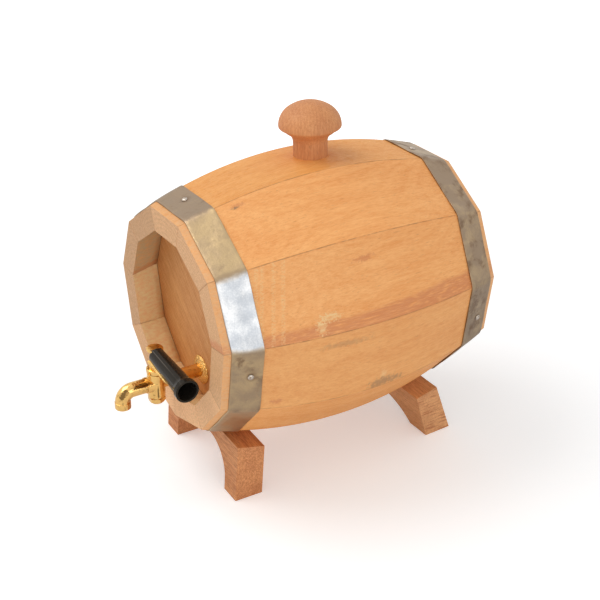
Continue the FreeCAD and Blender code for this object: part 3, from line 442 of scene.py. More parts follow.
def make_wood(
    name,
    wood,
    pale,
    dark,
    pith,
    turn,
    ring,
    wander,
    figure,
    pores,
    fibre=0.5,
    end=None,
    marks=None,
):
    """A board's material, with the pores and the roughness of a kind of wood.

    pith is where its fibres' middle line lies, after the turn, in millimetres. ring is the width of
    its growth rings, and wander how far they are pushed about. figure, fibre and pores are how much
    the rings, the fibres and the pores show. end is (colour, direction of the fibres); marks is a
    function that takes the tree and the colour so far, and gives the colour.
    """
    material, tree, shader = new_material(name, wood.roughness)
    inputs = {"Place": object_place(tree, pith, turn), "Ring Width": ring, "Wander": wander}
    grain = add_group(tree, "plank grain", inputs)
    share = times(tree, grain["Rings"], figure)
    share = add_share(tree, grain["Fibre"], fibre, share)
    share = add_share(tree, grain["Cloud"], 0.30, share, clamp=True)
    colour = tint(tree, share, pale, dark)
    if end:
        end_colour, fibres = end
        sawn = times(tree, grain["Rings"], 0.22)
        sawn = add_share(tree, grain["Fibre"], 0.6, sawn)
        sawn = tint(tree, sawn, end_colour, toned(end_colour, 0.62))
        colour = lay(tree, colour, end_mask(tree, fibres), 0.85, sawn)
    colour = lay(tree, colour, grain["Pores"], pores, wood.pore)
    if marks:
        colour = marks(tree, colour)
    rough = ease(tree, grain["Fibre"], 0, 1, wood.roughness - 0.06, wood.roughness + 0.10)
    feed(tree, shader, {"Base Color": colour, "Roughness": rough})
    height = add_share(tree, grain["Pores"], -0.8, grain["Fibre"])
    add_bump(tree, shader, height, 0.00012, 0.6)
    return material


# ------------------------------------------------------------
# Pieces

SAME_POINT = 2e-6
FLAT_BELOW = math.radians(0.15)
SMOOTH_BELOW = math.radians(32)
STEEL_EDGE = 0.0001
BUNG_EDGE = 0.0004
GRIP_EDGE = 0.0003


def dressed_copy(node, edge=0.0):
    """A merged copy of a CAD node, with soft edges, that is shown in its place."""
    source = NODES[node]
    mesh = bpy.data.meshes.new(node + "_dressed")
    work = bmesh.new()
    work.from_mesh(source.data)
    bmesh.ops.remove_doubles(work, verts=work.verts, dist=SAME_POINT)
    bmesh.ops.dissolve_limit(work, angle_limit=FLAT_BELOW, verts=work.verts, edges=work.edges)
    work.to_mesh(mesh)
    work.free()
    mesh.materials.clear()
    piece = bpy.data.objects.new(node + "_dressed", mesh)
    bpy.context.scene.collection.objects.link(piece)
    mesh.shade_smooth()
    mesh.set_sharp_from_angle(angle=SMOOTH_BELOW)
    if edge:
        bevel = piece.modifiers.new("soft_edges", "BEVEL")
        bevel.width = edge
        bevel.segments = 2
        bevel.limit_method = "ANGLE"
        bevel.angle_limit = SMOOTH_BELOW
        bevel.harden_normals = True
        bevel.use_clamp_overlap = True
    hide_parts(node)
    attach(piece, source["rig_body"])
    return piece


def paint(piece, material):
    piece.data.materials.append(material)


def unit(angle):
    """Straight out from the cask's axis, at an angle from straight up."""
    return (math.sin(math.radians(angle)), 0.0, math.cos(math.radians(angle)))


# What sets single staves apart, by number: the tone of their outside; the painted light and shade
# of their sawn end, lighter at the bottom and darker on the left; and the tone of their inside,
# darker at the upper left from painted shade and darker wood.
BOARD_TONES = {1: (0.95, 0.95, 0.90), 4: (0.90, 0.88, 0.78)}
END_LIGHT_AND_SHADE = {5: 1.27, 6: 1.3, 7: 1.25, 9: 0.76, 10: 0.74, 11: 0.74}
INSIDE_TONE_AND_SHADE = {8: 1.07, 10: 0.58, 11: 0.5}
STREAKED_STAVE = 10

# Millimetres: along the cask from its middle to a head and to the rim, and out to the staves.
HEAD_FACE = 95.0
RIM = (112.5, 115.5)
STAVE_REACH = 104


def knot(tree, colour, wood):
    """A knot beside the front hoop."""
    halo = spot(tree, (25.5, -51.0, 238.0), (2.6, 10.0, 2.6), 1.0, 0.5)
    colour = lay(tree, colour, halo, 0.5, wood.heart)
    core = spot(tree, (26.5, -53.0, 237.0), (1.4, 4.5, 1.6), 1.0, 0.8)
    return lay(tree, colour, core, 0.8, wood.stain)


def heartwood_and_chips(tree, colour, wood):
    """A red band along stave 3's lower joint, wider towards the rear, with two chips and a scar."""
    place = object_place(tree)
    depth = times(tree, past_joint(tree, 4), -1.0)
    depth = add_share(tree, component(tree, place, "Y"), -0.035, depth)
    wobble = noise(tree, stretch(tree, place, 0.10, 0.03, 0.10), 1.0, 3.0)
    depth = add_share(tree, wobble, 7.0, depth)
    fine = noise(tree, stretch(tree, place, 0.9, 0.06, 0.9), 1.0, 3.0)
    band = times(tree, ease(tree, depth, 15.5, 11.0), ease(tree, fine, 0.15, 0.6))
    colour = lay(tree, colour, band, 0.72, wood.heart)
    for middle, reach in (
        ((99.5, -15.0, 171.4), (6.0, 10.0, 3.6)),
        ((102.0, -22.5, 167.5), (6.0, 4.2, 8.0)),
    ):
        chip = times(tree, spot(tree, middle, reach, 1.6, 0.7), 1.5, clamp=True)
        chip = times(tree, chip, ease(tree, fine, 0.3, 0.6, 0.35, 1.0))
        colour = lay(tree, colour, chip, 0.9, wood.scraped)
    scar = spot(tree, (85.0, 21.0, 204.0), (5.0, 11.0, 2.5), 1.3, 0.4)
    return lay(tree, colour, scar, 0.6, wood.heart)


def tool_marks(tree, colour, wood):
    """Slanting columns of short scrapes beside the front hoop."""
    place = object_place(tree)
    slanted = combine(tree, "DOT_PRODUCT", place, (0.0, 1.0, -0.244))
    teeth = noise(tree, stretch(tree, place, 1.5, 0.5, 1.5), 1.0, 1.0)
    teeth = ease(tree, teeth, 0.46, 0.58)
    for middle in (-111.5, -107.4, -99.0, -92.0):
        far = calculate(tree, "ABSOLUTE", calculate(tree, "SUBTRACT", slanted, middle))
        column = times(tree, ease(tree, far, 2.2, 0.8), teeth)
        colour = lay(tree, colour, column, 0.45, wood.scraped)
    return colour


def stains(tree, colour, wood):
    """Two weather stains, a pale bruise and a red fleck."""
    upper = spot(tree, (104.9, -5.0, 149.0), (5.0, 28.0, 4.0), 1.0, 0.25)
    colour = lay(tree, colour, upper, 0.32, wood.stain)
    lower = spot(tree, (99.6, 36.0, 101.0), (7.0, 19.0, 6.0), 1.0, 0.3)
    colour = lay(tree, colour, lower, 0.6, wood.stain)
    bruise = spot(tree, (100.8, 34.0, 108.5), (5.0, 4.0, 5.0), 1.0, 0.5)
    colour = lay(tree, colour, bruise, 0.55, wood.scraped)
    fleck = spot(tree, (91.8, -55.0, 107.0), (4.0, 7.0, 2.5), 1.2, 0.5)
    return lay(tree, colour, fleck, 0.6, wood.heart)


OWN_MARKS = {2: (knot,), 3: (heartwood_and_chips, tool_marks), 4: (stains,)}


def stave_marks(number, wood):
    """The marks, joints, worn rim and inside of one stave, with painted light and shade inside: a
    function for make_wood.
    """

    def marks(tree, colour):
        for mark in OWN_MARKS.get(number, ()):
            colour = mark(tree, colour, wood)
        colour = lay(tree, colour, joint_lines(tree, number, 0.65), 0.5, wood.joint)

        place = object_place(tree, (0.0, -MM * MIDDLE_Y, -MM * AXIS_HEIGHT))
        from_middle = calculate(tree, "ABSOLUTE", component(tree, place, "Y"))
        outwards = combine(tree, "NORMALIZE", stretch(tree, place, 1.0, 0.0, 1.0))
        normal = add_node(tree, "TexCoord").outputs["Normal"]
        facing = combine(tree, "DOT_PRODUCT", outwards, normal)
        fine = noise(tree, stretch(tree, place, 0.5, 0.12, 0.5), 1.0, 3.0, 0.65)

        rim = times(tree, ease(tree, from_middle, *RIM), ease(tree, facing, 0.4, 0.7))
        rim = times(tree, rim, ease(tree, fine, 0.3, 0.7, 0.25, 0.95))
        colour = lay(tree, colour, rim, 0.8, wood.end)

        # The inside faces: a pale colour as painted light, made darker on the upper left staves as
        # painted shade and darker wood.
        inside = ease(tree, facing, -0.4, -0.7)
        sawn = times(tree, inside, ease(tree, fine, 0.3, 0.7, 0.62, 1.0))
        colour = lay(tree, colour, sawn, 0.92, toned(wood.inner, INSIDE_TONE_AND_SHADE.get(number, 1.0)))
        if number == STREAKED_STAVE:
            streak = add_share(tree, fine, 9.0, past_joint(tree, number))
            streak = times(tree, ease(tree, streak, 11.0, 8.0), inside)
            colour = lay(tree, colour, streak, 0.45, wood.heart)
        from_head = calculate(tree, "SUBTRACT", from_middle, HEAD_FACE)
        groove = ease(tree, calculate(tree, "ABSOLUTE", from_head), 0.9, 0.2)
        return lay(tree, colour, times(tree, groove, inside), 0.8, wood.joint)

    return marks


class CASK_OT_staves(bpy.types.Operator):
    """Give each stave its own board of pale wood"""

    bl_idname = "cask.staves"
    bl_label = "Staves"

    def execute(self, context):
        wood = context.scene.cask_wood
        spread = np.random.default_rng(11)
        for number in STAVES:
            angle = middle_angle(number)
            out, side = np.array(unit(angle)), np.array(unit(angle + 90))
            pith = out * (STAVE_REACH - spread.uniform(45, 80)) + side * spread.uniform(-14, 14)
            pith = pith + (0.0, spread.uniform(-400, 400), MM * AXIS_HEIGHT)
            lift = spread.uniform(-0.03, 0.03)
            tone = BOARD_TONES.get(number, 1.0)
            material = make_wood(
                stave_name(number) + "_wood",
                wood,
                toned(wood.pale, tone, lift),
                toned(wood.dark, tone, lift),
                tuple(-pith),
                tuple(side * spread.uniform(-0.10, 0.10)),
                ring=spread.uniform(2.4, 3.6),
                wander=spread.uniform(5.0, 9.0),
                figure=spread.uniform(0.05, 0.14),
                pores=0.5,
                # The sawn end, lighter at the bottom and darker on the left as painted light and
                # shade.
                end=(toned(wood.end, END_LIGHT_AND_SHADE.get(number, 1.0)), (0.0, 1.0, 0.0)),
                marks=stave_marks(number, wood),
            )
            paint(dressed_copy(stave_name(number), wood.edge), material)
        return {"FINISHED"}


class CASK_OT_heads(bpy.types.Operator):
    """Board up both heads, with their grain aslant"""

    bl_idname = "cask.heads"
    bl_label = "Heads"

    def execute(self, context):
        wood = context.scene.cask_wood
        boards = (("front_head", 50, (35.0, 0.0, 60.0)), ("rear_head", 20, (-25.0, 0.0, 50.0)))
        for node, slant, pith in boards:
            material = make_wood(
                node + "_wood",
                wood,
                toned(wood.pale, 0.79),
                toned(wood.dark, 0.66),
                pith,
                (math.radians(90), 0.0, math.radians(slant)),
                ring=2.6,
                wander=7.0,
                figure=0.42,
                pores=0.95,
            )
            paint(dressed_copy(node, wood.edge), material)
        return {"FINISHED"}


def node_points(node):
    """A CAD node's vertices, in metres."""
    points = np.empty(3 * len(NODES[node].data.vertices))
    NODES[node].data.vertices.foreach_get("co", points)
    return points.reshape(-1, 3)


def clock_angle(points):
    """Degrees from straight up, clockwise seen from the tap."""
    return np.degrees(np.arctan2(points[..., 0], points[..., 2] - AXIS_HEIGHT)) % 360


def from_axis(points):
    return np.hypot(points[..., 0], points[..., 2] - AXIS_HEIGHT)


def degrees_apart(first, second):
    return np.abs((first - second + 180) % 360 - 180)


def nail_places(node):
    """The middle of the head of each of a hoop's four nails, in metres."""
    points = node_points(node)
    places = []
    for number in NAILED_STAVES:
        nail = points[degrees_apart(clock_angle(points), middle_angle(number)) < 15]
        reach = from_axis(nail)
        places.append(nail[reach > reach.max() - 0.001].mean(axis=0))
    return places


def hoop_folds(node):
    """Where a hoop folds over the stave joints: an array of (joint, edge of the strip, xyz)."""
    points = node_points(node)
    folds = np.empty((len(STAVE_ANGLES), 2, 3))
    for number in STAVES:
        near = degrees_apart(clock_angle(points), joint_angle(number)) < 0.4
        for side, edge in enumerate((points[:, 1].min(), points[:, 1].max())):
            corner = points[near & (np.abs(points[:, 1] - edge) < 1e-4)]
            folds[number - 1, side] = corner[from_axis(corner).argmax()]
    return folds


# A hoop's strip: metres from row to row, its waves as (length along it, length across it, phase),
# and its rise over its own beginning, as a length in metres and a height in thicknesses.
STRIP_STEP = 0.0008
STRIP_WAVES = ((0.047, 0.031, 0.0), (0.029, -0.043, 1.0))
LAP_RAMP = 0.005
LAP_LIFT = 1.03


def strip_section(width, thickness, edge):
    """The outline of the strip's cross section: a rectangle with rounded corners.

    A point's place is (how far across the strip, how far out from its outer face), as two arrays.
    """
    corners = (
        (edge, -edge, 180),
        (width - edge, -edge, 90),
        (width - edge, edge - thickness, 0),
        (edge, edge - thickness, -90),
    )
    across, out = [], []
    for middle, height, start in corners:
        turn = np.radians(np.linspace(start, start - 90, 4))
        across.append(middle + edge * np.cos(turn))
        out.append(height + edge * np.sin(turn))
    outer_face = np.linspace(edge, width - edge, 13)[1:-1]
    across.insert(1, outer_face)
    out.insert(1, np.zeros_like(outer_face))
    return np.concatenate(across), np.concatenate(out)


def round_path(folds, fold):
    """The polygon through the folds, rounded: (path, length of a step, where each side starts).

    Each point is the mean of the polygon over the length of a fold, so each fold is round.
    """
    sides = np.roll(folds, -1, axis=0) - folds
    lengths = np.linalg.norm(sides.mean(axis=1), axis=1)
    starts = np.concatenate([[0.0], np.cumsum(lengths)])
    count = int(starts[-1] / STRIP_STEP)
    step = starts[-1] / count
    run = np.arange(count) * step
    flat = np.searchsorted(starts, run, side="right") - 1
    share = ((run - starts[flat]) / lengths[flat])[:, None, None]
    polygon = folds[flat] + sides[flat] * share
    window = int(fold / step / 2)
    shifts = range(-window, window + 1)
    path = sum(np.roll(polygon, shift, axis=0) for shift in shifts) / len(shifts)
    return path, step, starts


def closed_tube(name, place):
    """A smooth tube through an array of (row, point round it, xyz), with a face at each end."""
    rows, columns = place.shape[:2]
    row = np.arange(rows - 1)[:, None] * columns
    column = np.arange(columns)[None]
    after = (column + 1) % columns
    quads = np.stack([row + column, row + after, row + columns + after, row + columns + column], -1)
    faces = quads.reshape(-1, 4).tolist()
    faces += [list(range(columns)), list(range((rows - 1) * columns, rows * columns))]
    mesh = bpy.data.meshes.new(name)
    mesh.from_pydata(place.reshape(-1, 3).tolist(), [], faces)
    work = bmesh.new()
    work.from_mesh(mesh)
    bmesh.ops.recalc_face_normals(work, faces=work.faces)
    work.to_mesh(mesh)
    work.free()
    mesh.shade_smooth()
    mesh.set_sharp_from_angle(angle=math.radians(60))
    piece = bpy.data.objects.new(name, mesh)
    bpy.context.scene.collection.objects.link(piece)
    return piece


def make_strip(name, folds, metal, hollows):
    """A steel strip bent round the staves and lapped over its own beginning.

    The section is carried along the rounded path, from the middle of the lapped stave: a point lies
    between the path's two edges by its share of the width, and straight out from it by its height.
    Added to the height are two sines, which run aslant over the strip with wave lengths of 47 and
    29 mm, a hollow exp(-(distance / reach) ** 2) at each of the hollows, and, near the strip's end,
    a smooth rise by its thickness, which takes it over its beginning. hollows are (place, depth,
    reach), in metres.
    """
    path, step, starts = round_path(folds, metal.fold)
    count, length = len(path), starts[-1]
    first = int((starts[LAPPED_STAVE - 1] + starts[LAPPED_STAVE]) / 2 / step)
    half_lap = int(metal.lap / 2 / step)
    rows = np.arange(-half_lap, count + half_lap + 1)
    path = path[(rows + first) % count]

    width = np.linalg.norm(folds[0, 1] - folds[0, 0])
    across, out = strip_section(width, metal.thickness, metal.edge)
    share = (across / width)[None, :, None]
    place = path[:, 0, None] * (1 - share) + path[:, 1, None] * share
    along = np.gradient(place, axis=0)
    outward = np.stack([-along[..., 2], 0 * along[..., 0], along[..., 0]], axis=-1)
    outward /= np.linalg.norm(outward, axis=-1, keepdims=True)

    run = (rows * step)[:, None]
    rise = np.clip((run - (length - metal.lap / 2 - LAP_RAMP)) / LAP_RAMP, 0, 1)
    height = out[None] + LAP_LIFT * metal.thickness * rise * rise * (3 - 2 * rise)
    for wave_length, slant, phase in STRIP_WAVES:
        turn = 2 * math.pi * (run / wave_length + across[None] / slant) + phase
        height = height + metal.wave * np.sin(turn)
    for centre, depth, reach in hollows:
        far = np.linalg.norm(place - np.asarray(centre), axis=-1) / reach
        height = height - depth * np.exp(-far * far)
    return closed_tube(name, place + outward * height[..., None])


def over_stave(tree, number, wave):
    """One on a stave's stretch of a hoop, fading over a few millimetres at its ragged ends."""
    first = calculate(tree, "ADD", past_joint(tree, number), wave)
    last = calculate(tree, "ADD", past_joint(tree, number + 1), wave)
    return times(tree, ease(tree, first, -1.5, 4.0), ease(tree, last, 1.5, -4.0))


def make_zinc(name, metal, facet_sheen, stained, rust, nails):
    """Galvanised sheet: yellowed, with duller clouds, worn folds, brown stains and darker rings
    round the nails, and with painted reflections and a painted highlight on its facets.
    """
    material, tree, shader = new_material(name, metal.roughness, 1.0)
    place = object_place(tree)
    patch = noise(tree, place, 0.05, 4.0, 0.6, 0.4)
    speck = noise(tree, place, 0.8, 4.0, 0.75)

    wave = times(tree, calculate(tree, "SUBTRACT", patch, 0.5), 12.0)
    clean = ease(tree, patch, 0.38, 0.68, -0.25, 0.30)
    clean = add_share(tree, ease(tree, speck, 0.35, 0.7), 0.16, clean)
    bright = 0.0
    # Painted reflections: each stave's stretch of the hoop is made lighter or darker by its share,
    # and a share past 1 lays on the painted highlight.
    for number, amount in facet_sheen.items():
        over = over_stave(tree, number, wave)
        clean = add_share(tree, over, min(amount, 1.0), clean)
        if amount > 1:
            bright = add_share(tree, over, amount - 1, bright)
    for number in STAVES:
        fold = calculate(tree, "ABSOLUTE", past_joint(tree, number))
        clean = add_share(tree, ease(tree, fold, 2.2, 0.2), 0.14, clean)
    colour = tint(tree, calculate(tree, "MINIMUM", clean, 1.0), metal.dull, metal.zinc)

    # The painted highlight: silvery zinc with grey blotches.
    cloud = noise(tree, place, 0.06, 3.0, 0.5)
    silver = add_share(tree, speck, 0.55, times(tree, cloud, 0.9))
    silver = tint(tree, ease(tree, silver, 0.54, 0.94), metal.grey, metal.bright)
    colour = tint(tree, bright, colour, silver)

    elsewhere = combine(tree, "ADD", place, (300.0, 0.0, 0.0))
    brown = noise(tree, elsewhere, 0.07, 4.0, 0.62, 0.2)
    low = 0.62 - 0.16 * stained
    brown = ease(tree, brown, low, low + 0.22, 0.0, 0.45 + 0.4 * stained)
    brown = times(tree, brown, ease(tree, clean, 0.9, 0.4))
    colour = tint(tree, brown, colour, metal.stain)
    for middle, reach in rust:
        colour = lay(tree, colour, spot(tree, middle, reach, 1.2, 0.35), 0.75, metal.stain)
    # A darker ring round each nail, in its hollow.
    for centre, _, reach in nails:
        offset = combine(tree, "SUBTRACT", place, tuple(MM * number for number in centre))
        far = combine(tree, "LENGTH", offset)
        ring = ease(tree, far, 1.4 * MM * reach, 0.6 * MM * reach, 0.0, 0.55)
        colour = tint(tree, ring, colour, metal.stain)

    rough = ease(tree, patch, 0.3, 0.7, metal.roughness + 0.08, metal.roughness - 0.05)
    rough = add_share(tree, brown, 0.2, rough)
    feed(tree, shader, {"Base Color": colour, "Roughness": rough})
    hammered = noise(tree, place, 0.16, 2.0, 0.5)
    add_bump(tree, shader, add_share(tree, hammered, 2.2, speck), 0.00016, 0.8)
    return material


def make_steel(name, metal, roughness, grain, depth=0.0):
    """Bright steel with dull specks, which are pits if they have a depth."""
    material, tree, shader = new_material(name, roughness, 1.0)
    speck = noise(tree, object_place(tree), grain, 3.0, 0.6)
    colour = tint(tree, ease(tree, speck, 0.35, 0.7), metal.nail, metal.dull)
    feed(tree, shader, {"Base Color": colour})
    if depth:
        add_bump(tree, shader, speck, depth, 0.5)
    return material


# By hoop: its painted reflections, stave by stave: up to 1 lighter towards the yellowed zinc, below
# 0 darker, and past 1 the painted highlight of silvery zinc; how much of it is stained brown; and
# its patches of rust, as (middle, reach) in millimetres.
PAINTED_FACET_SHEEN = {"front": {1: -0.3, 2: 0.65, 3: 2.0, 4: 0.35, 5: 1.1}, "rear": {1: 0.25}}
STAINED = {"front": 0.45, "rear": 0.9}
RUST = {
    "front": (((64.5, -80.0, 86.5), (4.0, 7.0, 3.0)), ((90.0, -84.0, 150.0), (4.0, 4.0, 6.0))),
    "rear": (((92.5, 122.5, 139.0), (6.0, 6.0, 15.0)), ((88.0, 128.0, 118.0), (6.0, 9.0, 6.0))),
}
# In metres: the hollow round a nail, as (depth, reach), and the front hoop's dent, with its place.
NAIL_HOLLOW = (0.0002, 0.004)
DENT = ((0.0749, -0.0746, 0.1943), 0.0006, 0.0025)


class CASK_OT_hoops(bpy.types.Operator):
    """Put galvanised hoops, nails and rivets on the cask"""

    bl_idname = "cask.hoops"
    bl_label = "Hoops"

    def execute(self, context):
        metal = context.scene.hoop_metal
        for end in ("front", "rear"):
            nails = [(place, *NAIL_HOLLOW) for place in nail_places(end + "_hoop_nails")]
            zinc = make_zinc(end + "_hoop_zinc", metal, PAINTED_FACET_SHEEN[end], STAINED[end], RUST[end], nails)
            hollows = nails + [DENT] if end == "front" else nails
            piece = make_strip(end + "_hoop_strip", hoop_folds(end + "_hoop"), metal, hollows)
            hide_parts(end + "_hoop")
            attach(piece, NODES[end + "_hoop"]["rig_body"])
            paint(piece, zinc)
        steel = make_steel("nail_steel", metal, 0.30, 1.1, 0.0002)
        for end in ("front", "rear"):
            paint(dressed_copy(end + "_hoop_nails", STEEL_EDGE), steel)
            paint(dressed_copy(end + "_hoop_rivets", STEEL_EDGE), steel)
        return {"FINISHED"}


class CASK_OT_bung(bpy.types.Operator):
    """Turn the bung from reddish wood"""

    bl_idname = "cask.bung"
    bl_label = "Bung"

    def execute(self, context):
        wood = context.scene.red_wood
        material = make_wood(
            "bung_wood",
            wood,
            wood.bung_pale,
            wood.bung_dark,
            (26.0, 0.0, 60.0),
            (math.radians(90), 0.0, BUNG_LEAN),
            ring=2.4,
            wander=7.0,
            figure=0.14,
            pores=0.7,
            fibre=0.6,
        )
        paint(dressed_copy("bung", BUNG_EDGE), material)
        return {"FINISHED"}


def end_checks(wood, across, up, depth):
    """Dark checks in a plank's sawn ends: how many to a millimetre each way, and how dark."""

    def checks(tree, colour):
        pattern = noise(tree, stretch(tree, object_place(tree), 0.1, across, up), 1.0, 3.0, 0.6)
        cut = ease(tree, pattern, 0.50, 0.62, 0.0, depth)
        cut = times(tree, cut, end_mask(tree, (1.0, 0.0, 0.0)))
        return tint(tree, cut, colour, wood.foot_dark)

    return checks


class CASK_OT_feet(bpy.types.Operator):
    """Saw the feet from reddish planks, and screw them on"""

    bl_idname = "cask.feet"
    bl_label = "Feet"

    def execute(self, context):
        wood = context.scene.red_wood
        planks = (
            ("front_foot", (20.0, 0.0, 35.0), 0.7, (0.8, 0.40, 0.5), (0.98, 0.97, 0.96)),
            ("rear_foot", (112.0, 0.0, 80.0), 0.4, (0.05, 0.62, 0.9), (1.0, 1.13, 1.24)),
        )
        for node, pith, fibre, checks, tone in planks:
            material = make_wood(
                node + "_wood",
                wood,
                toned(wood.foot_pale, tone),
                toned(wood.foot_dark, tone),
                pith,
                (0.0, 0.0, math.radians(90)),
                ring=3.4,
                wander=12.0,
                figure=0.08,
                pores=0.85,
                fibre=fibre,
                marks=end_checks(wood, *checks),
            )
            paint(dressed_copy(node, wood.edge), material)
        steel = make_steel("screw_steel", context.scene.hoop_metal, 0.34, 1.4)
        for node in ("front_foot_screws", "rear_foot_screws"):
            paint(dressed_copy(node, STEEL_EDGE), steel)
        return {"FINISHED"}


# Painted dark reflections on the fixed brass, as (middle, reach) in millimetres: one along the
# spout, four that run together over its bend, one behind it, and two down the barrel.
PAINTED_DARK_REFLECTIONS = (
    ((4.0, -123.0, 92.0), (3.2, 10.5, 2.6)),
    ((4.0, -136.8, 90.4), (3.8, 3.3, 2.3)),
    ((4.3, -138.3, 89.1), (3.9, 3.2, 2.2)),
    ((4.6, -139.8, 87.8), (4.0, 3.0, 2.1)),
    ((4.8, -141.2, 86.5), (4.0, 2.7, 2.1)),
    ((-3.0, -130.0, 84.0), (4.0, 8.0, 3.0)),
    ((6.9, -111.4, 83.0), (1.0, 0.9, 9.0)),
    ((0.6, -116.8, 88.0), (1.5, 1.5, 10.0)),
)


def make_brass(name, finish, dark_reflections=(), dents=0.25, depth=0.0005):
    """Polished brass, clouded darker, with painted dark reflections, a painted shade line round the
    plug, and fine dents.

    dents is how much the dents show, and depth how deep they are, in metres.
    """
    material, tree, shader = new_material(name, finish.roughness, 1.0)
    place = object_place(tree)
    # Painted dark reflections: dark swirls, and dark spots at the given places.
    swirl = noise(tree, stretch(tree, place, 0.30, 0.16, 0.16), 1.0, 2.0, 0.5, 1.5)
    dark = ease(tree, swirl, 0.56, 0.68, 0.0, 0.55)
    for middle, reach in dark_reflections:
        streak = ease(tree, spot(tree, middle, reach, 0.35, 0.5), 0.2, 0.6)
        dark = calculate(tree, "MAXIMUM", dark, streak)
    # Painted shade: a dark line round the plug where the lever's hub sits on top of the barrel.
    barrel_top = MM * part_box("tap_body")[1][2]
    plug = MM * np.mean(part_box("tap_plug"), axis=0)
    painted_joint_shade = spot(tree, (plug[0], plug[1], barrel_top), (14.0, 14.0, 0.75), 0.0, 0.4)
    dark = calculate(tree, "MAXIMUM", dark, painted_joint_shade)
    cloud = ease(tree, noise(tree, place, 0.16, 3.0, 0.55), 0.40, 0.80, 0.0, 0.2)
    colour = tint(tree, cloud, finish.brass, finish.tarnish_reflection_and_shade)
    colour = lay(tree, colour, dark, 0.85, finish.tarnish_reflection_and_shade)
    fine = noise(tree, place, 1.3, 3.0, 0.6)
    rough = ease(tree, fine, 0.3, 0.8, finish.roughness - 0.03, finish.roughness + 0.10)
    feed(tree, shader, {"Base Color": colour, "Roughness": rough})
    add_bump(tree, shader, noise(tree, place, 0.7, 2.0, 0.5), depth, dents)
    return material


def make_rubber():
    """Black rubber with a grey bloom."""
    material, tree, shader = new_material("seal_rubber", 0.7)
    bloom = noise(tree, object_place(tree), 0.5, 3.0)
    colour = tint(tree, bloom, (0.02, 0.02, 0.02), (0.06, 0.055, 0.05))
    feed(tree, shader, {"Base Color": colour})
    return material


def make_plastic(finish):
    """Moulded black plastic, with dust and a painted highlight streak along its upper side that
    fades towards the open end.
    """
    sheen = {"Specular IOR Level": 0.17, "Specular Tint": (1.0, 0.86, 0.66)}
    material, tree, shader = new_material("grip_plastic", 0.22, **sheen)
    place = object_place(tree)
    dust = ease(tree, noise(tree, place, 0.5, 4.0, 0.65), 0.45, 0.9, 0.0, 0.35)
    axis = object_place(tree, tuple(-MM * np.mean(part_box("lever_grip"), axis=0)))
    # Painted highlight: a light streak along the grip's upper side, fading towards the open end.
    seam = combine(tree, "DOT_PRODUCT", axis, (0.027, 0.89, 0.45))
    outer = combine(tree, "DOT_PRODUCT", axis, (-0.014, -0.45, 0.89))
    seam = ease(tree, calculate(tree, "ABSOLUTE", seam), 0.55, 0.1)
    seam = times(tree, seam, ease(tree, outer, 0.0, 2.0, 0.0, 0.8))
    seam = times(tree, seam, ease(tree, component(tree, axis, "X"), 12.0, -8.0, 0.15, 1.0))
    colour = tint(tree, dust, finish.grip, (0.05, 0.045, 0.04))
    colour = lay(tree, colour, seam, 0.7, finish.seam)
    rough = ease(tree, dust, 0, 0.35, 0.17, 0.36)
    feed(tree, shader, {"Base Color": colour, "Roughness": rough})
    add_bump(tree, shader, noise(tree, place, 0.25, 2.0), 0.0003, 0.15)
    return material


class CASK_OT_tap(bpy.types.Operator):
    """Polish the tap's fixed brass"""

    bl_idname = "cask.tap"
    bl_label = "Tap"

    def execute(self, context):
        finish = context.scene.tap_finish
        brass = make_brass("tap_brass", finish, PAINTED_DARK_REFLECTIONS)
        hammered = make_brass("rosette_brass", finish, dents=1.0, depth=0.0014)
        for node in ("tap_body", "tap_spout"):
            paint(dressed_copy(node, finish.edge), brass)
        paint(dressed_copy("tap_rosette", finish.edge), hammered)
        paint(dressed_copy("tap_seal"), make_rubber())
        return {"FINISHED"}


class CASK_OT_lever(bpy.types.Operator):
    """Finish the tap's plug, lever and grip, which turn together"""

    bl_idname = "cask.lever"
    bl_label = "Lever"

    def execute(self, context):
        finish = context.scene.tap_finish
        brass = make_brass("lever_brass", finish)
        for node in ("tap_plug", "tap_lever", "plug_washer", "plug_nut"):
            paint(dressed_copy(node, finish.edge), brass)
        paint(dressed_copy("lever_grip", GRIP_EDGE), make_plastic(finish))
        return {"FINISHED"}


# ------------------------------------------------------------
# Stage

WARM_WHITE = (1.0, 0.985, 0.96)
WHITE = (1.0, 1.0, 1.0)
FLOOR_REACH = 3.0
FLOOR_HEIGHT = -0.0001


def set_camera(scene, stage):
    data = bpy.data.cameras.new("camera")
    data.lens = stage.lens
    data.sensor_width = 36
    camera = bpy.data.objects.new("camera", data)
    scene.collection.objects.link(camera)
    camera.matrix_world = (
        Matrix.Translation(stage.eye)
        @ Matrix.Rotation(stage.azimuth, 4, "Z")
        @ Matrix.Rotation(math.pi / 2 - stage.elevation, 4, "X")
        @ Matrix.Rotation(stage.roll, 4, "Z")
    )
    scene.camera = camera


def lay_floor(scene, stage):
    """A pale floor just under the feet, which fades to white away from the cask."""
    signs = ((-1, -1), (1, -1), (1, 1), (-1, 1))
    corners = [(x * FLOOR_REACH, y * FLOOR_REACH, FLOOR_HEIGHT) for x, y in signs]
    mesh = bpy.data.meshes.new("floor")
    mesh.from_pydata(corners, [], [(0, 1, 2, 3)])
    floor = bpy.data.objects.new("floor", mesh)
    scene.collection.objects.link(floor)
    material = bpy.data.materials.new("pale_floor")
    tree = empty_tree(material)
    plain = add_node(tree, "BsdfDiffuse", {"Color": stage.floor})
    seen = add_node(tree, "LightPath").outputs["Is Camera Ray"]
    far = combine(tree, "LENGTH", add_node(tree, "TexCoord").outputs["Object"])
    strength = times(tree, seen, ease(tree, far, 0.3, 1.3, stage.glow, 1.0))
    glow = add_node(tree, "Emission", {"Strength": strength})
    both = add_node(tree, "AddShader", {0: plain.outputs[0], 1: glow.outputs[0]})
    add_node(tree, "OutputMaterial", {"Surface": both.outputs[0]})
    mesh.materials.append(material)


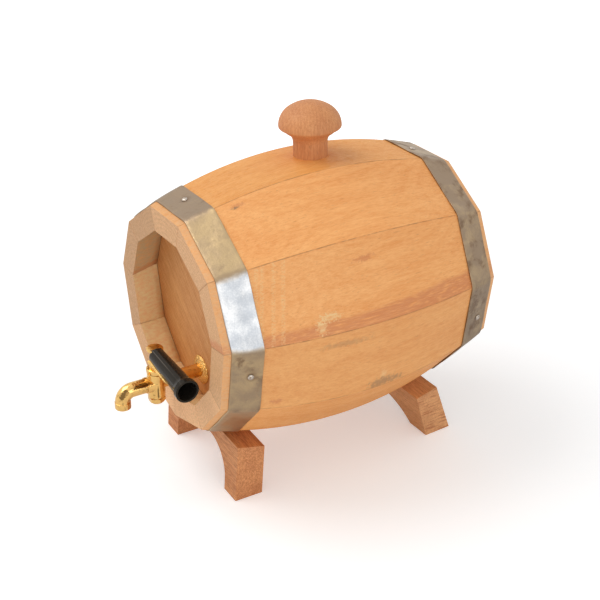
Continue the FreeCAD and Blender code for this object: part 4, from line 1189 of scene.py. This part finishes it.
def light_room(scene, stage):
    """Soft light from all round, in a room that looks white to the eye and in reflections."""
    world = bpy.data.worlds.new("soft_room")
    scene.world = world
    tree = empty_tree(world)
    path = add_node(tree, "LightPath").outputs
    seen = calculate(tree, "MAXIMUM", path["Is Camera Ray"], path["Is Glossy Ray"])
    seen = calculate(tree, "MAXIMUM", seen, path["Is Transmission Ray"])
    room = add_node(tree, "Background", {"Color": WARM_WHITE, "Strength": stage.sky})
    white = add_node(tree, "Background", {"Color": WHITE, "Strength": 1.0})
    mixed = add_node(tree, "MixShader", {0: seen, 1: room.outputs[0], 2: white.outputs[0]})
    add_node(tree, "OutputWorld", {"Surface": mixed.outputs[0]})


def add_lamp(name, place, size, power):
    """A soft warm lamp that shines on the middle of the cask."""
    light = bpy.data.lights.new(name, "AREA")
    light.shape = "RECTANGLE"
    light.size, light.size_y = size
    light.energy = power
    light.color = WARM_WHITE
    lamp = bpy.data.objects.new(name, light)
    lamp.location = place
    x, y, z = np.array((0.0, 0.0, 0.14)) - np.array(place)
    lamp.rotation_euler = (math.atan2(math.hypot(x, y), -z), 0, math.atan2(y, x) - math.pi / 2)
    bpy.context.scene.collection.objects.link(lamp)


class CASK_OT_stage(bpy.types.Operator):
    """Lay the floor, hang the lamps and set up the camera"""

    bl_idname = "cask.stage"
    bl_label = "Stage"

    def execute(self, context):
        scene = context.scene
        stage = scene.cask_stage
        set_camera(scene, stage)
        lay_floor(scene, stage)
        light_room(scene, stage)
        add_lamp("key_lamp", (1.60, -0.20, 0.66), (1.4, 1.1), stage.key)
        add_lamp("top_lamp", (-0.75, -0.95, 1.75), (1.4, 1.4), stage.top)
        scene.view_settings.view_transform = "Standard"
        return {"FINISHED"}


class CASK_PT_panel(bpy.types.Panel):
    """The cask's settings and steps"""

    bl_idname = "CASK_PT_panel"
    bl_label = "Cask"
    bl_space_type = "VIEW_3D"
    bl_region_type = "UI"
    bl_category = "Cask"

    def draw(self, context):
        for name, group in SETTINGS.items():
            settings = getattr(context.scene, name)
            box = self.layout.box()
            box.label(text=group.__doc__)
            for setting in group.__annotations__:
                box.prop(settings, setting)
        for step in STEPS:
            self.layout.operator(step.bl_idname)


STEPS = (
    CASK_OT_stage,
    CASK_OT_staves,
    CASK_OT_heads,
    CASK_OT_hoops,
    CASK_OT_bung,
    CASK_OT_feet,
    CASK_OT_tap,
    CASK_OT_lever,
)
CLASSES = (*SETTINGS.values(), *STEPS, CASK_PT_panel)


def register():
    for each in CLASSES:
        bpy.utils.register_class(each)
    for name, group in SETTINGS.items():
        setattr(bpy.types.Scene, name, bpy.props.PointerProperty(type=group))


def unregister():
    for name in SETTINGS:
        delattr(bpy.types.Scene, name)
    for each in reversed(CLASSES):
        bpy.utils.unregister_class(each)


def main():
    register()
    make_plank_grain()
    make_ragged_spot()
    bpy.ops.cask.stage()
    bpy.ops.cask.staves()
    bpy.ops.cask.heads()
    bpy.ops.cask.hoops()
    bpy.ops.cask.bung()
    bpy.ops.cask.feet()
    bpy.ops.cask.tap()
    bpy.ops.cask.lever()


if __name__ == "__main__":
    main()
